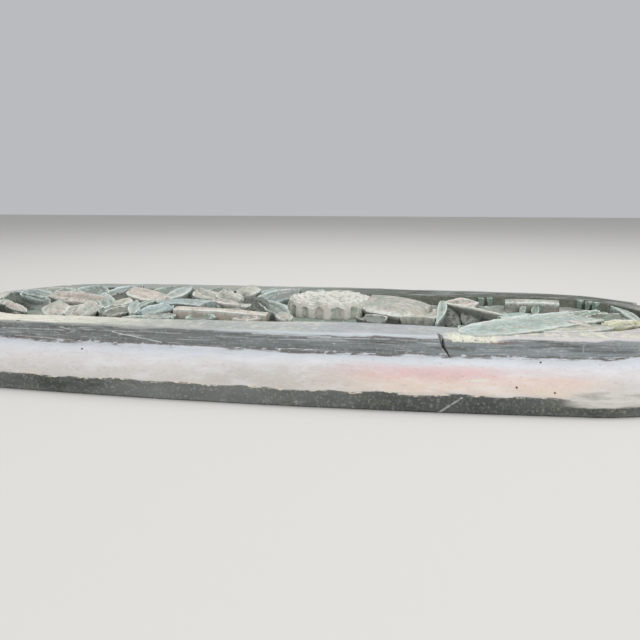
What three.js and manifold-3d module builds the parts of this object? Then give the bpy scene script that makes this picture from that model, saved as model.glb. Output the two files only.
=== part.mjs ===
// Carved giltwood wall panel: an oval-ended board with a sunk, carved field, lying on its back.
// Millimetres. X runs along the board, Y from the near long edge to the far one, +Z is the front.
// The origin is the middle of the flat back.
import * as THREE from 'three';
import { ConvexGeometry } from 'three/addons/geometries/ConvexGeometry.js';
import * as BufferGeometryUtils from 'three/addons/utils/BufferGeometryUtils.js';
import Module from 'manifold-3d';

const wasm = await Module();
wasm.setup();

// Driving sizes of the board
const RIM_HALF_LENGTH = 244;
const END_RADIUS = 83;
const EDGE_BOW = 6;
const FIELD_SWELL = { middle: 50, half: 85, near: 7, far: 5 };
const LEDGE_REACH = 14.5;
const EDGE_HEIGHT = 10;
const LEDGE_RISE = 16.5;
const LEDGE_BULGE = 1.8;
const WALL_HEIGHT = 11.5;
const RIM_WIDTH = 21;
const FIELD_DEPTH = 15;
const FIELD_DRAFT = 1.5;
const ARRIS_CRISP = 1.2;
const ARRIS_WORN = 3.4;
const END_STEPS = 20;
const SIDE_STEPS = 16;

// Heights that follow from them
const LEDGE_TOP = EDGE_HEIGHT + LEDGE_RISE;
const RIM_TOP = LEDGE_TOP + WALL_HEIGHT;
const GROUND = RIM_TOP - FIELD_DEPTH;
const END_CENTRE = RIM_HALF_LENGTH - END_RADIUS;
const FIELD_EDGE = END_RADIUS - RIM_WIDTH;

// Places on the board where it is broken or worn
const WORN_PATCH = { from: 94, to: 130, depth: 2.4 };
const CRACK = { x: 92, lean: 5, width: 2.4, bite: 12, tail: 0.3 };
const RIM_CHIP = { angle: 31, length: 9, bite: 9, depth: 3.6 };
const RIM_NICK = { x: -211, length: 3.5, bite: 3, depth: 1.4 };

// Carving
const FOOT_SINK = 1;
const BLUNT_TIP = 0.7;
const LOBES = 3;
const STEM_WIDTH = 8;
const BLOOM_PLACE = [19, 8];
const BLOOM = { radius: 30.5, flutes: 17, fluteDepth: 2.1, skirtTop: 39.5 };
const BLOOM_DOME = [{ share: 0.93, z: 41.8 }, { share: 0.55, z: 43.6 }, { share: 0.2, z: 44.4 }];
const LOW_LEAVES = { count: 12, pitch: 32, reach: 46, width: 29, height: 30.5 };
const MIDDLE_LEAVES = {
  starts: [-206, -178, -150, -122, -94, -66, 128, 156], reach: 38, width: 27, height: 30,
};
const BLOOM_LEAVES = { count: 11, inner: 24, outer: 52, width: 23, height: 31 };

const smoothstep = THREE.MathUtils.smoothstep;

// The rim's outline, anticlockwise from the near right, with the outward normal at each point
function rimOutline() {
  const outline = [];
  const addEnd = (side, startAngle) => {
    for (let i = 0; i <= END_STEPS; i += 1) {
      const angle = startAngle + Math.PI * i / END_STEPS;
      const normal = new THREE.Vector2(Math.cos(angle), Math.sin(angle));
      const place = normal.clone().multiplyScalar(END_RADIUS);
      place.x += side * END_CENTRE;
      outline.push({ place, normal });
    }
  };
  const addSide = (side) => {
    for (let i = 1; i < SIDE_STEPS; i += 1) {
      const x = side * END_CENTRE * (1 - 2 * i / SIDE_STEPS);
      const place = new THREE.Vector2(x, side * (END_RADIUS + edgeBow(x)));
      const slope = 2 * EDGE_BOW * x / END_CENTRE ** 2;
      outline.push({ place, normal: new THREE.Vector2(slope, side).normalize() });
    }
  };
  addEnd(1, -Math.PI / 2);
  addSide(1);
  addEnd(-1, Math.PI / 2);
  addSide(-1);
  return outline;
}

// How far a long edge bows outward at x
function edgeBow(x) {
  return EDGE_BOW * (1 - Math.min(1, Math.abs(x) / END_CENTRE) ** 2);
}

// Distance of the field's long edge from the middle line; it was cut by hand and swells inward
function fieldEdge(x, side) {
  const across = THREE.MathUtils.clamp((x - FIELD_SWELL.middle) / FIELD_SWELL.half, -1, 1);
  const near = FIELD_SWELL.near * Math.cos(Math.PI / 2 * across) ** 2;
  const far = FIELD_SWELL.far * (1 - Math.min(1, Math.abs(x) / END_CENTRE) ** 4);
  return FIELD_EDGE - (side < 0 ? near : far);
}

function rimWidth({ x, y }) {
  const onSide = Math.abs(x) < END_CENTRE;
  return RIM_WIDTH + (onSide ? edgeBow(x) + FIELD_EDGE - fieldEdge(x, y) : 0);
}

// The rim's outer arris is crisp at the left and rubbed round towards the right and at the worn patch
function arrisRadius(place) {
  if (place.y > 0) {
    return ARRIS_CRISP;
  }
  const rubbed = smoothstep(place.x, -120, 150);
  const patch = smoothstep(place.x, WORN_PATCH.from, WORN_PATCH.from + 8)
    * (1 - smoothstep(place.x, WORN_PATCH.to - 12, WORN_PATCH.to));
  return THREE.MathUtils.lerp(ARRIS_CRISP, ARRIS_WORN, rubbed) + WORN_PATCH.depth * patch;
}

// The board's section at one place of the outline: [outward offset, height], from back to field
function boardSection(place) {
  const section = [[LEDGE_REACH, 0], [LEDGE_REACH, EDGE_HEIGHT]];
  const slopeLength = Math.hypot(LEDGE_REACH, LEDGE_RISE);
  for (const step of [0.25, 0.5, 0.75]) {
    const bulge = LEDGE_BULGE * Math.sin(Math.PI * step);
    section.push([
      LEDGE_REACH * (1 - step) + bulge * LEDGE_RISE / slopeLength,
      EDGE_HEIGHT + LEDGE_RISE * step + bulge * LEDGE_REACH / slopeLength,
    ]);
  }
  const radius = arrisRadius(place);
  const round = radius * (1 - Math.SQRT1_2);
  section.push([0, LEDGE_TOP]);
  section.push([0, RIM_TOP - radius]);
  section.push([-round, RIM_TOP - round]);
  section.push([-radius, RIM_TOP]);
  section.push([-rimWidth(place), RIM_TOP]);
  section.push([-rimWidth(place) - FIELD_DRAFT, GROUND]);
  return section;
}

// Closed geometry from rows of points: rows are joined in turn, the first and last are capped
function closedRows(rows) {
  const count = rows[0].length;
  const positions = rows.flat().flatMap((point) => [point.x, point.y, point.z]);
  const indices = [];
  for (let row = 0; row + 1 < rows.length; row += 1) {
    for (let i = 0; i < count; i += 1) {
      const a = row * count + i;
      const b = row * count + (i + 1) % count;
      indices.push(a, b, b + count, a, b + count, a + count);
    }
  }
  const addCap = (row, turned) => {
    const middle = new THREE.Vector3();
    rows[row].forEach((point) => middle.add(point));
    middle.divideScalar(count);
    const centre = positions.length / 3;
    positions.push(middle.x, middle.y, middle.z);
    for (let i = 0; i < count; i += 1) {
      const a = row * count + i;
      const b = row * count + (i + 1) % count;
      indices.push(...(turned ? [centre, b, a] : [centre, a, b]));
    }
  };
  addCap(0, true);
  addCap(rows.length - 1, false);
  const geometry = new THREE.BufferGeometry();
  geometry.setAttribute('position', new THREE.Float32BufferAttribute(positions, 3));
  geometry.setIndex(indices);
  return geometry;
}

function boardGeometry() {
  const outline = rimOutline();
  const sections = outline.map(({ place }) => boardSection(place));
  const rows = sections[0].map((_, row) => outline.map(({ place, normal }, i) => {
    const [offset, height] = sections[i][row];
    return new THREE.Vector3(place.x + normal.x * offset, place.y + normal.y * offset, height);
  }));
  return closedRows(rows);
}

// A carved strip: leaf, petal, stem or rib. Its top follows the path at the stops given, its sides
// fall to the ground, and sweep pushes its outer ends forward.
function carvedStrip({ path, shape, width, stops, across = 2, crown = 0, tilt = 0, sweep = 0 }) {
  const rows = stops.map((t) => {
    const spine = path.getPoint(t);
    const tangent = path.getTangent(t);
    const along = new THREE.Vector2(tangent.x, tangent.y).normalize();
    const half = Math.max(BLUNT_TIP, 0.5 * width * shape(t));
    const forward = sweep * half * Math.sin(Math.PI * Math.min(1, 1.15 * t));
    const at = (s, z) => new THREE.Vector3(
      spine.x - along.y * half * s + along.x * forward * Math.abs(s),
      spine.y + along.x * half * s + along.y * forward * Math.abs(s),
      z,
    );
    const top = Array.from({ length: across + 1 }, (_, k) => {
      const s = 1 - 2 * k / across;
      return at(s, spine.z + crown * (1 - s * s) * Math.min(1, half / 4) + tilt * half * s);
    });
    return [...top, at(-1, GROUND - FOOT_SINK), at(1, GROUND - FOOT_SINK)];
  });
  return closedRows(rows);
}

function evenStops(count) {
  return Array.from({ length: count }, (_, i) => i / (count - 1));
}

// Half-width along each outline, as a share of the full one
const pointedShape = (t) => Math.sin(Math.PI * (0.07 + 0.93 * t) ** 0.85) ** 0.85;
const roundShape = (t) => Math.sqrt(0.06 + 3.76 * t * (1 - t));
const tongueShape = (t) => Math.min(1, 0.86 + 0.3 * t) * Math.max(0, 1 - t ** 5) ** 0.6;
const bluntShape = (t) => Math.min(1, 0.45 + 1.6 * t);
const barShape = (t) => 0.8 + 0.2 * t;
const stemShape = (t) => 1 - 0.35 * t;
const plainShape = () => 1;

// A leaf with rounded lobes on each side, the last one its tip
function lobedShape(t) {
  const lobe = 0.7 + 0.3 * Math.sin(Math.PI * ((t * LOBES) % 1) ** 0.75) ** 0.8;
  return Math.sin(Math.PI * (0.1 + 0.9 * t) ** 0.8) ** 0.62 * lobe;
}

// A leaf with shallow lobes
function wavyShape(t) {
  return pointedShape(t) * (0.9 + 0.1 * Math.sin(Math.PI * ((t * LOBES) % 1) ** 0.75));
}

const LEAF_KINDS = {
  lobed: { shape: lobedShape, stops: [0, 0.13, 0.335, 0.46, 0.67, 0.8, 1], sweep: 0.45 },
  cupped: { shape: wavyShape, stops: [0, 0.16, 0.35, 0.6, 0.85, 1], sweep: 0.3 },
  folded: { shape: wavyShape, stops: [0, 0.18, 0.5, 0.82, 1], sweep: 0.4 },
  plain: { shape: pointedShape, stops: evenStops(5) },
  ridge: { shape: pointedShape, stops: evenStops(5) },
  dome: { shape: roundShape, stops: [0, 0.06, 0.22, 0.5, 0.78, 0.94, 1], across: 4 },
  tongue: { shape: tongueShape, stops: [0, 0.3, 0.6, 0.8, 0.92, 1] },
  blunt: { shape: bluntShape, stops: evenStops(4) },
  bar: { shape: barShape, stops: [0, 1] },
};
const LOW_STOPS = [0, 0.15, 0.8, 1];

// A leaf from base to tip. bend pushes its middle sideways, lift raises it.
function leaf([bx, by, bz, tx, ty, tz, width, bend, lift, crown, tilt, kind], form = {}) {
  const start = new THREE.Vector3(bx, by, bz);
  const end = new THREE.Vector3(tx, ty, tz);
  const side = new THREE.Vector3(by - ty, tx - bx, 0).normalize();
  const middle = start.clone().lerp(end, 0.5).addScaledVector(side, bend);
  middle.z += 2 * lift;
  const path = new THREE.QuadraticBezierCurve3(start, middle, end);
  return carvedStrip({ path, width, crown, tilt, ...LEAF_KINDS[kind], ...form });
}

// The lower leaves: in from both long sides of the field, along its middle, and out from the bloom
function lowLeafRows() {
  const row = (base, tip, height, rise, width, bend) => (
    [...base, height, ...tip, height + rise, width, bend, 1.5, 1.2, 0, 'lobed']
  );
  const low = LOW_LEAVES;
  const sides = [-1, 1].flatMap((side) => Array.from({ length: low.count }, (_, i) => {
    const x = low.pitch * (i - (low.count - 1) / 2);
    const turn = i % 2 ? 1 : -1;
    const y = side * (fieldEdge(x, side) - 1);
    return row([x, y], [x + 13 * turn, y - side * low.reach], low.height, 0.5, low.width, 4 * turn);
  }));
  const middle = MIDDLE_LEAVES.starts.map((x, i) => {
    const turn = i % 2 ? 1 : -1;
    const { reach, width, height } = MIDDLE_LEAVES;
    return row([x, 7 * turn], [x + reach, -15 * turn], height, 1, width, 5 * turn);
  });
  const ring = BLOOM_LEAVES;
  const bloom = Array.from({ length: ring.count }, (_, i) => {
    const angle = 2 * Math.PI * (i + 0.25) / ring.count;
    const [base, tip] = [roundBloom(angle, ring.inner), roundBloom(angle + 0.12, ring.outer)];
    return row(base, tip, ring.height, -1.5, ring.width, 4);
  });
  return [...sides, ...middle, ...bloom];
}

function roundBloom(angle, radius) {
  return [BLOOM_PLACE[0] + radius * Math.cos(angle), BLOOM_PLACE[1] + radius * Math.sin(angle)];
}

// The bloom: a low drum with a fluted skirt and a domed top
function bloomGeometry() {
  const { radius, flutes, fluteDepth, skirtTop } = BLOOM;
  const ribHalf = 0.08;
  const nicheHalf = 0.27;
  const angles = Array.from({ length: flutes }, (_, i) => (
    [i - ribHalf, i + ribHalf, i + nicheHalf, i + 1 - nicheHalf]
  )).flat().map((turn) => 2 * Math.PI * turn / flutes);
  const ring = (ringRadius, depth, z) => angles.map((angle, i) => (
    new THREE.Vector3(...roundBloom(angle, ringRadius - (i % 4 < 2 ? 0 : depth)), z)
  ));
  return closedRows([
    ring(radius, fluteDepth, GROUND - FOOT_SINK),
    ring(radius, fluteDepth, skirtTop),
    ...BLOOM_DOME.map(({ share, z }) => ring(radius * share, 0, z)),
  ]);
}

function stem(points) {
  const path = new THREE.CatmullRomCurve3(points.map((point) => new THREE.Vector3(...point)));
  return carvedStrip({
    path, shape: stemShape, width: STEM_WIDTH, crown: 1.6, stops: evenStops(points.length * 2),
  });
}

// The two main stems, each winding from the bloom to its end of the field
const LEFT_STEM = [
  [-5, 2, 34], [-36, 0, 36], [-70, 0, 36], [-100, -10, 36], [-128, -4, 36], [-152, 2, 38],
  [-194, 6, 38], [-208, 24, 35],
];
const RIGHT_STEM = [
  [39, 16, 32], [70, 38, 31], [100, 40, 28], [137, 34, 28], [160, 31, 34], [176, 29, 33], [198, 22, 33],
  [206, -6, 36], [202, -30, 36],
];

// Upper leaves: base x, y, z, tip x, y, z, width, sideways bend, lift, crown, tilt, kind
const UPPER_LEAVES = [
  [-176, -50, 36, -221, -12, 37.6, 11, -5, 0.5, 2.2, 0.1, 'folded'],
  [-167, -49, 37.5, -223, 10, 40.5, 32, -2, 0, -7.5, 0, 'cupped'],
  [-184, -6, 38, -221, 28, 40.2, 22, 4, 0.5, -1.5, 0, 'cupped'],
  [-174, 24, 36, -212, 40, 39.5, 24, 3, 1, -2, 0, 'cupped'],
  [-136, -12, 38.5, -188, 0, 39.6, 21, -5, 0.6, 3.6, -0.12, 'folded'],
  [-147, -60, 37, -161, -30, 39, 17, 2, 1, 3, 0, 'dome'],
  [-133, -58, 37, -137, -25, 39.5, 24, 5, 1, 2.6, 0, 'folded'],
  [-124, -30, 37.5, -152, 16, 40.5, 12, 3, 0.5, 2.4, 0, 'folded'],
  [-144, 9, 31, -142, 31, 40.3, 27, -3, 0, -6, 0, 'cupped'],
  [-168, 12, 35, -178, 57, 40.2, 32, 4, 0.5, -2.5, 0, 'cupped'],
  [-152, 30, 37, -141, 59, 40.4, 26, 4, 0.5, -2, 0, 'cupped'],
  [-122, -46, 36.5, -112, -22, 37.5, 17, 3, 0.5, 1.5, 0.2, 'folded'],
  [-126, -21, 37, -122, -4, 38.6, 13, 2, 0.5, 2, 0, 'dome'],
  [-96, -3, 38.5, -134, 28, 40.5, 25, 4, 0.6, 3.2, 0, 'dome'],
  [-118, 30, 36, -110, 60, 40.4, 27, 3, 0.5, -2, 0, 'cupped'],
  [-100, -49, 38, -116, -8, 39.5, 8, 0, 0.5, 1, 0, 'plain'],
  [-96, -46, 37.5, -88, -15, 38.8, 20, -3, 0.8, 2.2, 0, 'folded'],
  [-99, 4, 39, -98, 54, 41, 9, -3, 1, 1, 0.3, 'plain'],
  [-99, -10, 39.5, -62, -14, 39.5, 20, 3, 0.5, 0.8, 0, 'blunt'],
  [-104, -4, 39.5, -103, -40, 39, 6, 0, 1, 0.5, 0, 'plain'],
  [-108, 8, 33, -86, 54, 38, 28, 6, -0.6, -4, 0, 'cupped'],
  [-65, 26, 36, -90, 44, 40, 22, 4, 0.5, 3, 0, 'folded'],
  [-44, 12, 36, -70, 42, 40, 20, 4, 0.5, 3, 0, 'folded'],
  [-65, 9, 38, -42, -6, 37.5, 12, 0, 0.5, 1.5, 0, 'plain'],
  [-68, 30, 35, -76, 60, 40, 24, 3, 0.5, -2, 0, 'cupped'],
  [-50, 34, 38, -50, 59, 39.6, 18, 0, 1.2, 3, 0, 'dome'],
  [-14, -38, 37.5, -78, -30, 38.5, 10, 0, 0.5, 1.2, 0, 'bar'],
  [-62, -30, 35, -36, -18, 36.5, 18, 3, 0.5, 1.5, 0, 'lobed'],
  [-72, -50, 36, -104, -56, 36.6, 14, 2, 0.5, 1, 0, 'folded'],
  [-186, 26, 36, -198, 44, 39, 18, 3, 0.5, -1.5, 0, 'cupped'],
  [-84, -36, 36, -86, -61, 37.4, 22, 2, 0.5, 0.8, 0, 'lobed'],
  [-60, -40, 36.5, -52, -61, 37.4, 20, 3, 0.5, -1.2, 0, 'lobed'],
  [-30, -42, 36.5, -24, -58, 37.2, 18, 3, 0.5, 1.0, 0, 'lobed'],
  [-20, -25, 38, -46, 16, 39.5, 18, 3, 0, -2, -0.42, 'cupped'],
  [-29, 4, 39.5, 1, -52, 38, 14, 4, 0.8, -1.2, 0.1, 'cupped'],
  [-6, -42, 38, 2, -57, 38, 10, 1, 1.2, 2.2, 0, 'dome'],
  [-33, 18, 36, -12, 60, 40.4, 23, 5, 0.5, -2.2, 0.1, 'cupped'],
  [-42, 32, 34, -33, 60, 40, 20, -3, 0.5, -1.8, 0, 'cupped'],
  [0, 14, 33, 6, 60, 40.2, 25, 5, 0.5, -2.4, 0.1, 'cupped'],
  [14, 34, 36, 28, 60, 39.6, 25, 3, 1.5, -1.8, 0, 'cupped'],
  [48, 3, 38.5, 87, -18, 36, 46, -4, 1.5, 7, 0, 'dome'],
  [44, -30, 37.5, 57, -55, 37.8, 19, 3, 1, -1.6, 0, 'cupped'],
  [87, -3, 38, 79, -36, 38.2, 23, 0, 0.4, 0.3, 0.03, 'blunt'],
  [70, -34, 31, 82, -56, 32, 24, 2, 1, 0.6, 0, 'lobed'],
  [95, 22, 39.8, 90, -53, 38.1, 6, 3, 1, 0.6, 0, 'plain'],
  [94, 15, 39.8, 138, -24, 37.5, 11, -3, 0.8, -1, -0.1, 'ridge'],
  [98, 8, 37.5, 103, -24, 27, 13, 0, 0, 2.5, 0, 'ridge'],
  [110, -2, 37, 116, -26, 27, 12, 0, 0, 2.5, 0, 'ridge'],
  [96, 18, 36, 120, 25, 38.5, 19, 2, 0.5, -1.5, 0.3, 'folded'],
  [178, -21, 39.6, 103, -79, 38.2, 37, -2, 0.2, -0.5, 0.012, 'tongue'],
  [188, -44, 37.8, 128, -62, 38, 22, 3, 0.2, 0.8, 0, 'plain'],
  [129, -22, 37, 149, -14, 38.4, 12, 2, 0.5, 1.2, 0, 'plain'],
  [138, 30, 38.2, 173, 28, 38.4, 14, 0, 0.3, 2.4, -0.12, 'bar'],
  [180, -32, 37, 210, -6, 38.3, 22, 0, 0.5, -1.2, 0.1, 'plain'],
  [150, 23, 37.6, 146, 7, 33, 5, 0, 0.5, 0.8, 0, 'plain'],
  [158, 23, 37.6, 154, 5, 33, 7, 0, 0.5, 0.8, 0, 'plain'],
  [208, -32, 38.2, 205, 18, 39.5, 6, -2, 0.8, 1, 0, 'plain'],
  [187, -43, 37.6, 209, -31, 38.3, 19, 3, 0.6, 1.5, 0, 'folded'],
  [168, -38, 39.5, 176, -51, 38.6, 8, -2, 0.8, 1, 0, 'plain'],
  [176, -11, 35, 196, 12, 37.5, 18, 2, 0.5, 1, 0, 'folded'],
  [200, 34, 33, 182, 4, 33, 22, 4, 1, 1.6, 0, 'folded'],
  [44, 22, 33, 58, 57, 35, 28, -5, 2, -2.2, 0, 'cupped'],
  [84, 34, 29, 100, 55, 30, 24, 3, 1, -1.6, 0, 'cupped'],
  [160, 30, 30, 188, 46, 31, 22, 3, 1, -0.8, 0, 'lobed'],
  [58, 8, 31, 84, 36, 31, 22, 3, 1, -0.8, 0, 'lobed'],
  [150, 18, 29, 168, -8, 30, 24, 3, 1, -0.8, 0, 'lobed'],
];

// Upright ribs left standing against the far inner wall, and the small blocks at its right end
const RIBS = { xs: [124, 130.5], width: 3.6, reach: 5, top: RIM_TOP - 1.2 };
const BLOCKS = { angles: [47, 52, 58], width: 2.6, reach: 5, top: RIM_TOP - 0.4 };

function rib(x, y, outward, { width, reach, top }) {
  const inner = new THREE.Vector3(x, y, top).addScaledVector(outward, -reach);
  const outer = new THREE.Vector3(x, y, top).addScaledVector(outward, 3);
  return carvedStrip({
    path: new THREE.LineCurve3(inner, outer), shape: plainShape, width, stops: [0, 1], across: 1,
  });
}

function wallRibs() {
  const ribs = RIBS.xs.map((x) => (
    rib(x, fieldEdge(x, 1), new THREE.Vector3(0, 1, 0), RIBS)
  ));
  const blocks = BLOCKS.angles.map((degrees) => {
    const angle = THREE.MathUtils.degToRad(degrees);
    const outward = new THREE.Vector3(Math.cos(angle), Math.sin(angle), 0);
    return rib(END_CENTRE + FIELD_EDGE * outward.x, FIELD_EDGE * outward.y, outward, BLOCKS);
  });
  return [...ribs, ...blocks];
}

// The wedge of a crack that runs down the near wall and a little way into the rim
function crackCut() {
  const { x, lean, width, bite, tail } = CRACK;
  const face = -(END_RADIUS + edgeBow(x)) - 2;
  const corners = [];
  for (const side of [-1, 1]) {
    corners.push(new THREE.Vector3(x + side * width / 2, face, RIM_TOP + 1));
    corners.push(new THREE.Vector3(x + side * tail, face + bite + 2, RIM_TOP + 1));
    corners.push(new THREE.Vector3(x + lean + side * tail, face, LEDGE_TOP + 0.3));
    corners.push(new THREE.Vector3(x + lean + side * tail / 2, face + bite / 2, LEDGE_TOP + 0.3));
  }
  return new ConvexGeometry(corners);
}

// A broken-out bit of the rim's outer arris
function chipCut(place, outward, { length, bite, depth }) {
  const along = new THREE.Vector3(-outward.y, outward.x, 0);
  const corner = (alongBy, outBy, height) => place.clone()
    .addScaledVector(along, alongBy).addScaledVector(outward, outBy).setZ(height);
  const corners = [];
  for (const side of [-1, 1]) {
    corners.push(corner(side * length * 0.6, 2, RIM_TOP + 1));
    corners.push(corner(side * length * 0.4, -bite, RIM_TOP + 1));
    corners.push(corner(side * length * 0.45, 2, RIM_TOP - depth));
    corners.push(corner(side * length * 0.3, -bite * 0.6, RIM_TOP - depth * 0.7));
  }
  return new ConvexGeometry(corners);
}

function cuts() {
  const angle = THREE.MathUtils.degToRad(RIM_CHIP.angle);
  const chipOut = new THREE.Vector3(Math.cos(angle), Math.sin(angle), 0);
  const chipPlace = chipOut.clone().multiplyScalar(END_RADIUS).add(new THREE.Vector3(END_CENTRE, 0, 0));
  const nickAngle = Math.acos((RIM_NICK.x + END_CENTRE) / END_RADIUS);
  const nickOut = new THREE.Vector3(Math.cos(nickAngle), Math.sin(nickAngle), 0);
  const nickPlace = nickOut.clone().multiplyScalar(END_RADIUS).add(new THREE.Vector3(-END_CENTRE, 0, 0));
  return [crackCut(), chipCut(chipPlace, chipOut, RIM_CHIP), chipCut(nickPlace, nickOut, RIM_NICK)];
}

// three.js geometry to a manifold solid and back
function toSolid(geometry) {
  geometry.deleteAttribute('normal');
  geometry.deleteAttribute('uv');
  const merged = BufferGeometryUtils.mergeVertices(geometry, 1e-4);
  return new wasm.Manifold(new wasm.Mesh({
    numProp: 3,
    vertProperties: Float32Array.from(merged.attributes.position.array),
    triVerts: Uint32Array.from(merged.index.array),
  }));
}

function toGeometry(solid) {
  const mesh = solid.getMesh();
  const geometry = new THREE.BufferGeometry();
  geometry.setAttribute('position', new THREE.BufferAttribute(Float32Array.from(mesh.vertProperties), 3));
  geometry.setIndex(new THREE.BufferAttribute(Uint32Array.from(mesh.triVerts), 1));
  geometry.computeVertexNormals();
  return geometry;
}

// The whole board is one piece of wood: the field's carving is joined on and the damage cut away
function carvedBoard() {
  const carving = [
    stem(LEFT_STEM),
    stem(RIGHT_STEM),
    ...lowLeafRows().map((row) => leaf(row, { stops: LOW_STOPS, across: 1 })),
    ...UPPER_LEAVES.map((row) => leaf(row)),
    bloomGeometry(),
    ...wallRibs(),
  ];
  const joined = carving.reduce((solid, geometry) => solid.add(toSolid(geometry)), toSolid(boardGeometry()));
  return cuts().reduce((solid, geometry) => solid.subtract(toSolid(geometry)), joined);
}

const board = new THREE.Mesh(
  toGeometry(carvedBoard()),
  new THREE.MeshStandardMaterial({ color: 0x9a9684, roughness: 0.72, metalness: 0.05 }),
);
board.name = 'carved_panel';

const panel = new THREE.Group();
panel.add(board);
export default panel;
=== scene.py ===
import itertools
import math

import bpy
import numpy as np
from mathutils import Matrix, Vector


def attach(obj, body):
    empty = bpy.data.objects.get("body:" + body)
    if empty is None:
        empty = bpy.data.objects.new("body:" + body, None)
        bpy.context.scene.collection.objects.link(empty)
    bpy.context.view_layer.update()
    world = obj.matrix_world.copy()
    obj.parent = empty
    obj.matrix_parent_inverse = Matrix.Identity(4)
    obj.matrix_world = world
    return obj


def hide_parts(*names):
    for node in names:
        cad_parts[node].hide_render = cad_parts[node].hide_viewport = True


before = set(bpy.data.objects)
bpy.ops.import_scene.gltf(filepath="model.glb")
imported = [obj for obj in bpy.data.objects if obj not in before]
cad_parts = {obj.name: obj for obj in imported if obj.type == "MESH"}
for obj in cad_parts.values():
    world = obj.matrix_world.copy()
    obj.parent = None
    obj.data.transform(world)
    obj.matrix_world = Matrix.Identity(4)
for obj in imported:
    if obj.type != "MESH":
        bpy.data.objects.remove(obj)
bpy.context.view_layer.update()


# Photographer's table: a pale matt surface under the panel, a large soft light above and behind,
# a weaker one beside the camera, and the camera at the panel's long edge, a little above it.
FLOOR_COLOUR = "D6D4CF"
FLOOR_SIZE = 6.0
SKY_STRENGTH = 0.55
CAMERA_PLACE = (0.0825, -0.4297, 0.1118)
CAMERA_YAW = -0.161
CAMERA_PITCH = 0.191
CAMERA_FOCAL_PX = 648
PHOTO_SIDE_PX = 640
SENSOR_WIDTH = 36.0


def srgb(code):
    """Linear colour of an sRGB hex code."""
    values = [int(code[i:i + 2], 16) / 255 for i in (0, 2, 4)]
    linear = [v / 12.92 if v <= 0.04045 else ((v + 0.055) / 1.055) ** 2.4 for v in values]
    return (*linear, 1.0)


def add_node(tree, kind, settings=None, inputs=None):
    """Adds one shader node; an input takes a plain value or another node's output."""
    node = tree.nodes.new(kind)
    for name, value in (settings or {}).items():
        setattr(node, name, value)
    for name, value in (inputs or {}).items():
        if isinstance(value, bpy.types.NodeSocket):
            tree.links.new(value, node.inputs[name])
        else:
            node.inputs[name].default_value = value
    return node


def area_light(name, place, target, size, power, colour="FFFFFF"):
    lamp = bpy.data.lights.new(name, "AREA")
    lamp.shape = "RECTANGLE"
    lamp.size, lamp.size_y = size
    lamp.energy = power
    lamp.color = srgb(colour)[:3]
    lit = bpy.data.objects.new(name, lamp)
    lit.location = place
    lit.rotation_euler = (Vector(target) - Vector(place)).to_track_quat("-Z", "Y").to_euler()
    bpy.context.collection.objects.link(lit)


camera = bpy.data.objects.new("camera", bpy.data.cameras.new("camera"))
camera.data.sensor_width = SENSOR_WIDTH
camera.data.lens = CAMERA_FOCAL_PX * SENSOR_WIDTH / PHOTO_SIDE_PX
camera.data.clip_start = 0.01
camera.location = CAMERA_PLACE
camera.rotation_euler = (math.pi / 2 - CAMERA_PITCH, 0, -CAMERA_YAW)
bpy.context.collection.objects.link(camera)
bpy.context.scene.camera = camera

area_light("soft_top", (0.1, 0.35, 1.3), (0, 0, 0), (1.6, 1.0), 12)
area_light("soft_front", (0.4, -1.3, 0.75), (0, 0, 0), (1.0, 0.8), 8)

world = bpy.data.worlds.new("studio")
world.use_nodes = True
world.node_tree.nodes["Background"].inputs["Color"].default_value = srgb("F2F4F8")
world.node_tree.nodes["Background"].inputs["Strength"].default_value = SKY_STRENGTH
bpy.context.scene.world = world
bpy.context.scene.view_settings.view_transform = "Standard"

floor_material = bpy.data.materials.new("matt_paper")
floor_material.use_nodes = True
paper = floor_material.node_tree.nodes["Principled BSDF"]
paper.inputs["Base Color"].default_value = srgb(FLOOR_COLOUR)
paper.inputs["Roughness"].default_value = 0.9
paper.inputs["Specular IOR Level"].default_value = 0.2
bpy.ops.mesh.primitive_plane_add(size=FLOOR_SIZE)
floor = bpy.context.object
floor.name = "floor"
floor.data.materials.append(floor_material)


# The board: one thick plank with round ends. Its edge is cut to a low upright edge, a sloping
# ledge, an upright wall and a broad flat rim, and the field inside the rim is sunk by a chisel.
# Sizes in millimetres, as in the solid.
MM = 0.001
RIM_HALF_LENGTH = 244
END_RADIUS = 83
EDGE_BOW = 6
LEDGE_REACH = 14.5
EDGE_HEIGHT = 10
LEDGE_RISE = 16.5
LEDGE_BULGE = 1.8
WALL_HEIGHT = 11.5
RIM_WIDTH = 21
FIELD_SWELL = {"middle": 50, "half": 85, "near": 7, "far": 5}
FIELD_DEPTH = 15
FIELD_DRAFT = 1.5
BACK_CHAMFER = 0.8
WALL_REBATE = 0.5
ARRIS_CRISP = 1.2
ARRIS_WORN = 3.4
LEDGE_TOP = EDGE_HEIGHT + LEDGE_RISE
RIM_TOP = LEDGE_TOP + WALL_HEIGHT
GROUND = RIM_TOP - FIELD_DEPTH
END_CENTRE = RIM_HALF_LENGTH - END_RADIUS
FIELD_EDGE = END_RADIUS - RIM_WIDTH
STATION_STEP = {"near": 1.1, "crack": 0.35, "far": 2.4, "end": 1.7}
WORN_PATCH = {"start": 94, "end": 130, "depth": 2.4}
CRACK = {"x": 92, "lean": 5, "width": 2.4, "bite": 12, "depth": 7}
RIM_CHIP = {"angle": 31, "length": 9, "bite": 9, "depth": 3.6}
RIM_NICK = {"angle": 127, "length": 3.5, "bite": 3, "depth": 1.4}
BROKEN_ARRIS = {"start": 150, "depth": 4.2}


def ease(low, high, value):
    t = np.clip((value - low) / (high - low), 0, 1)
    return t * t * (3 - 2 * t)


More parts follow.
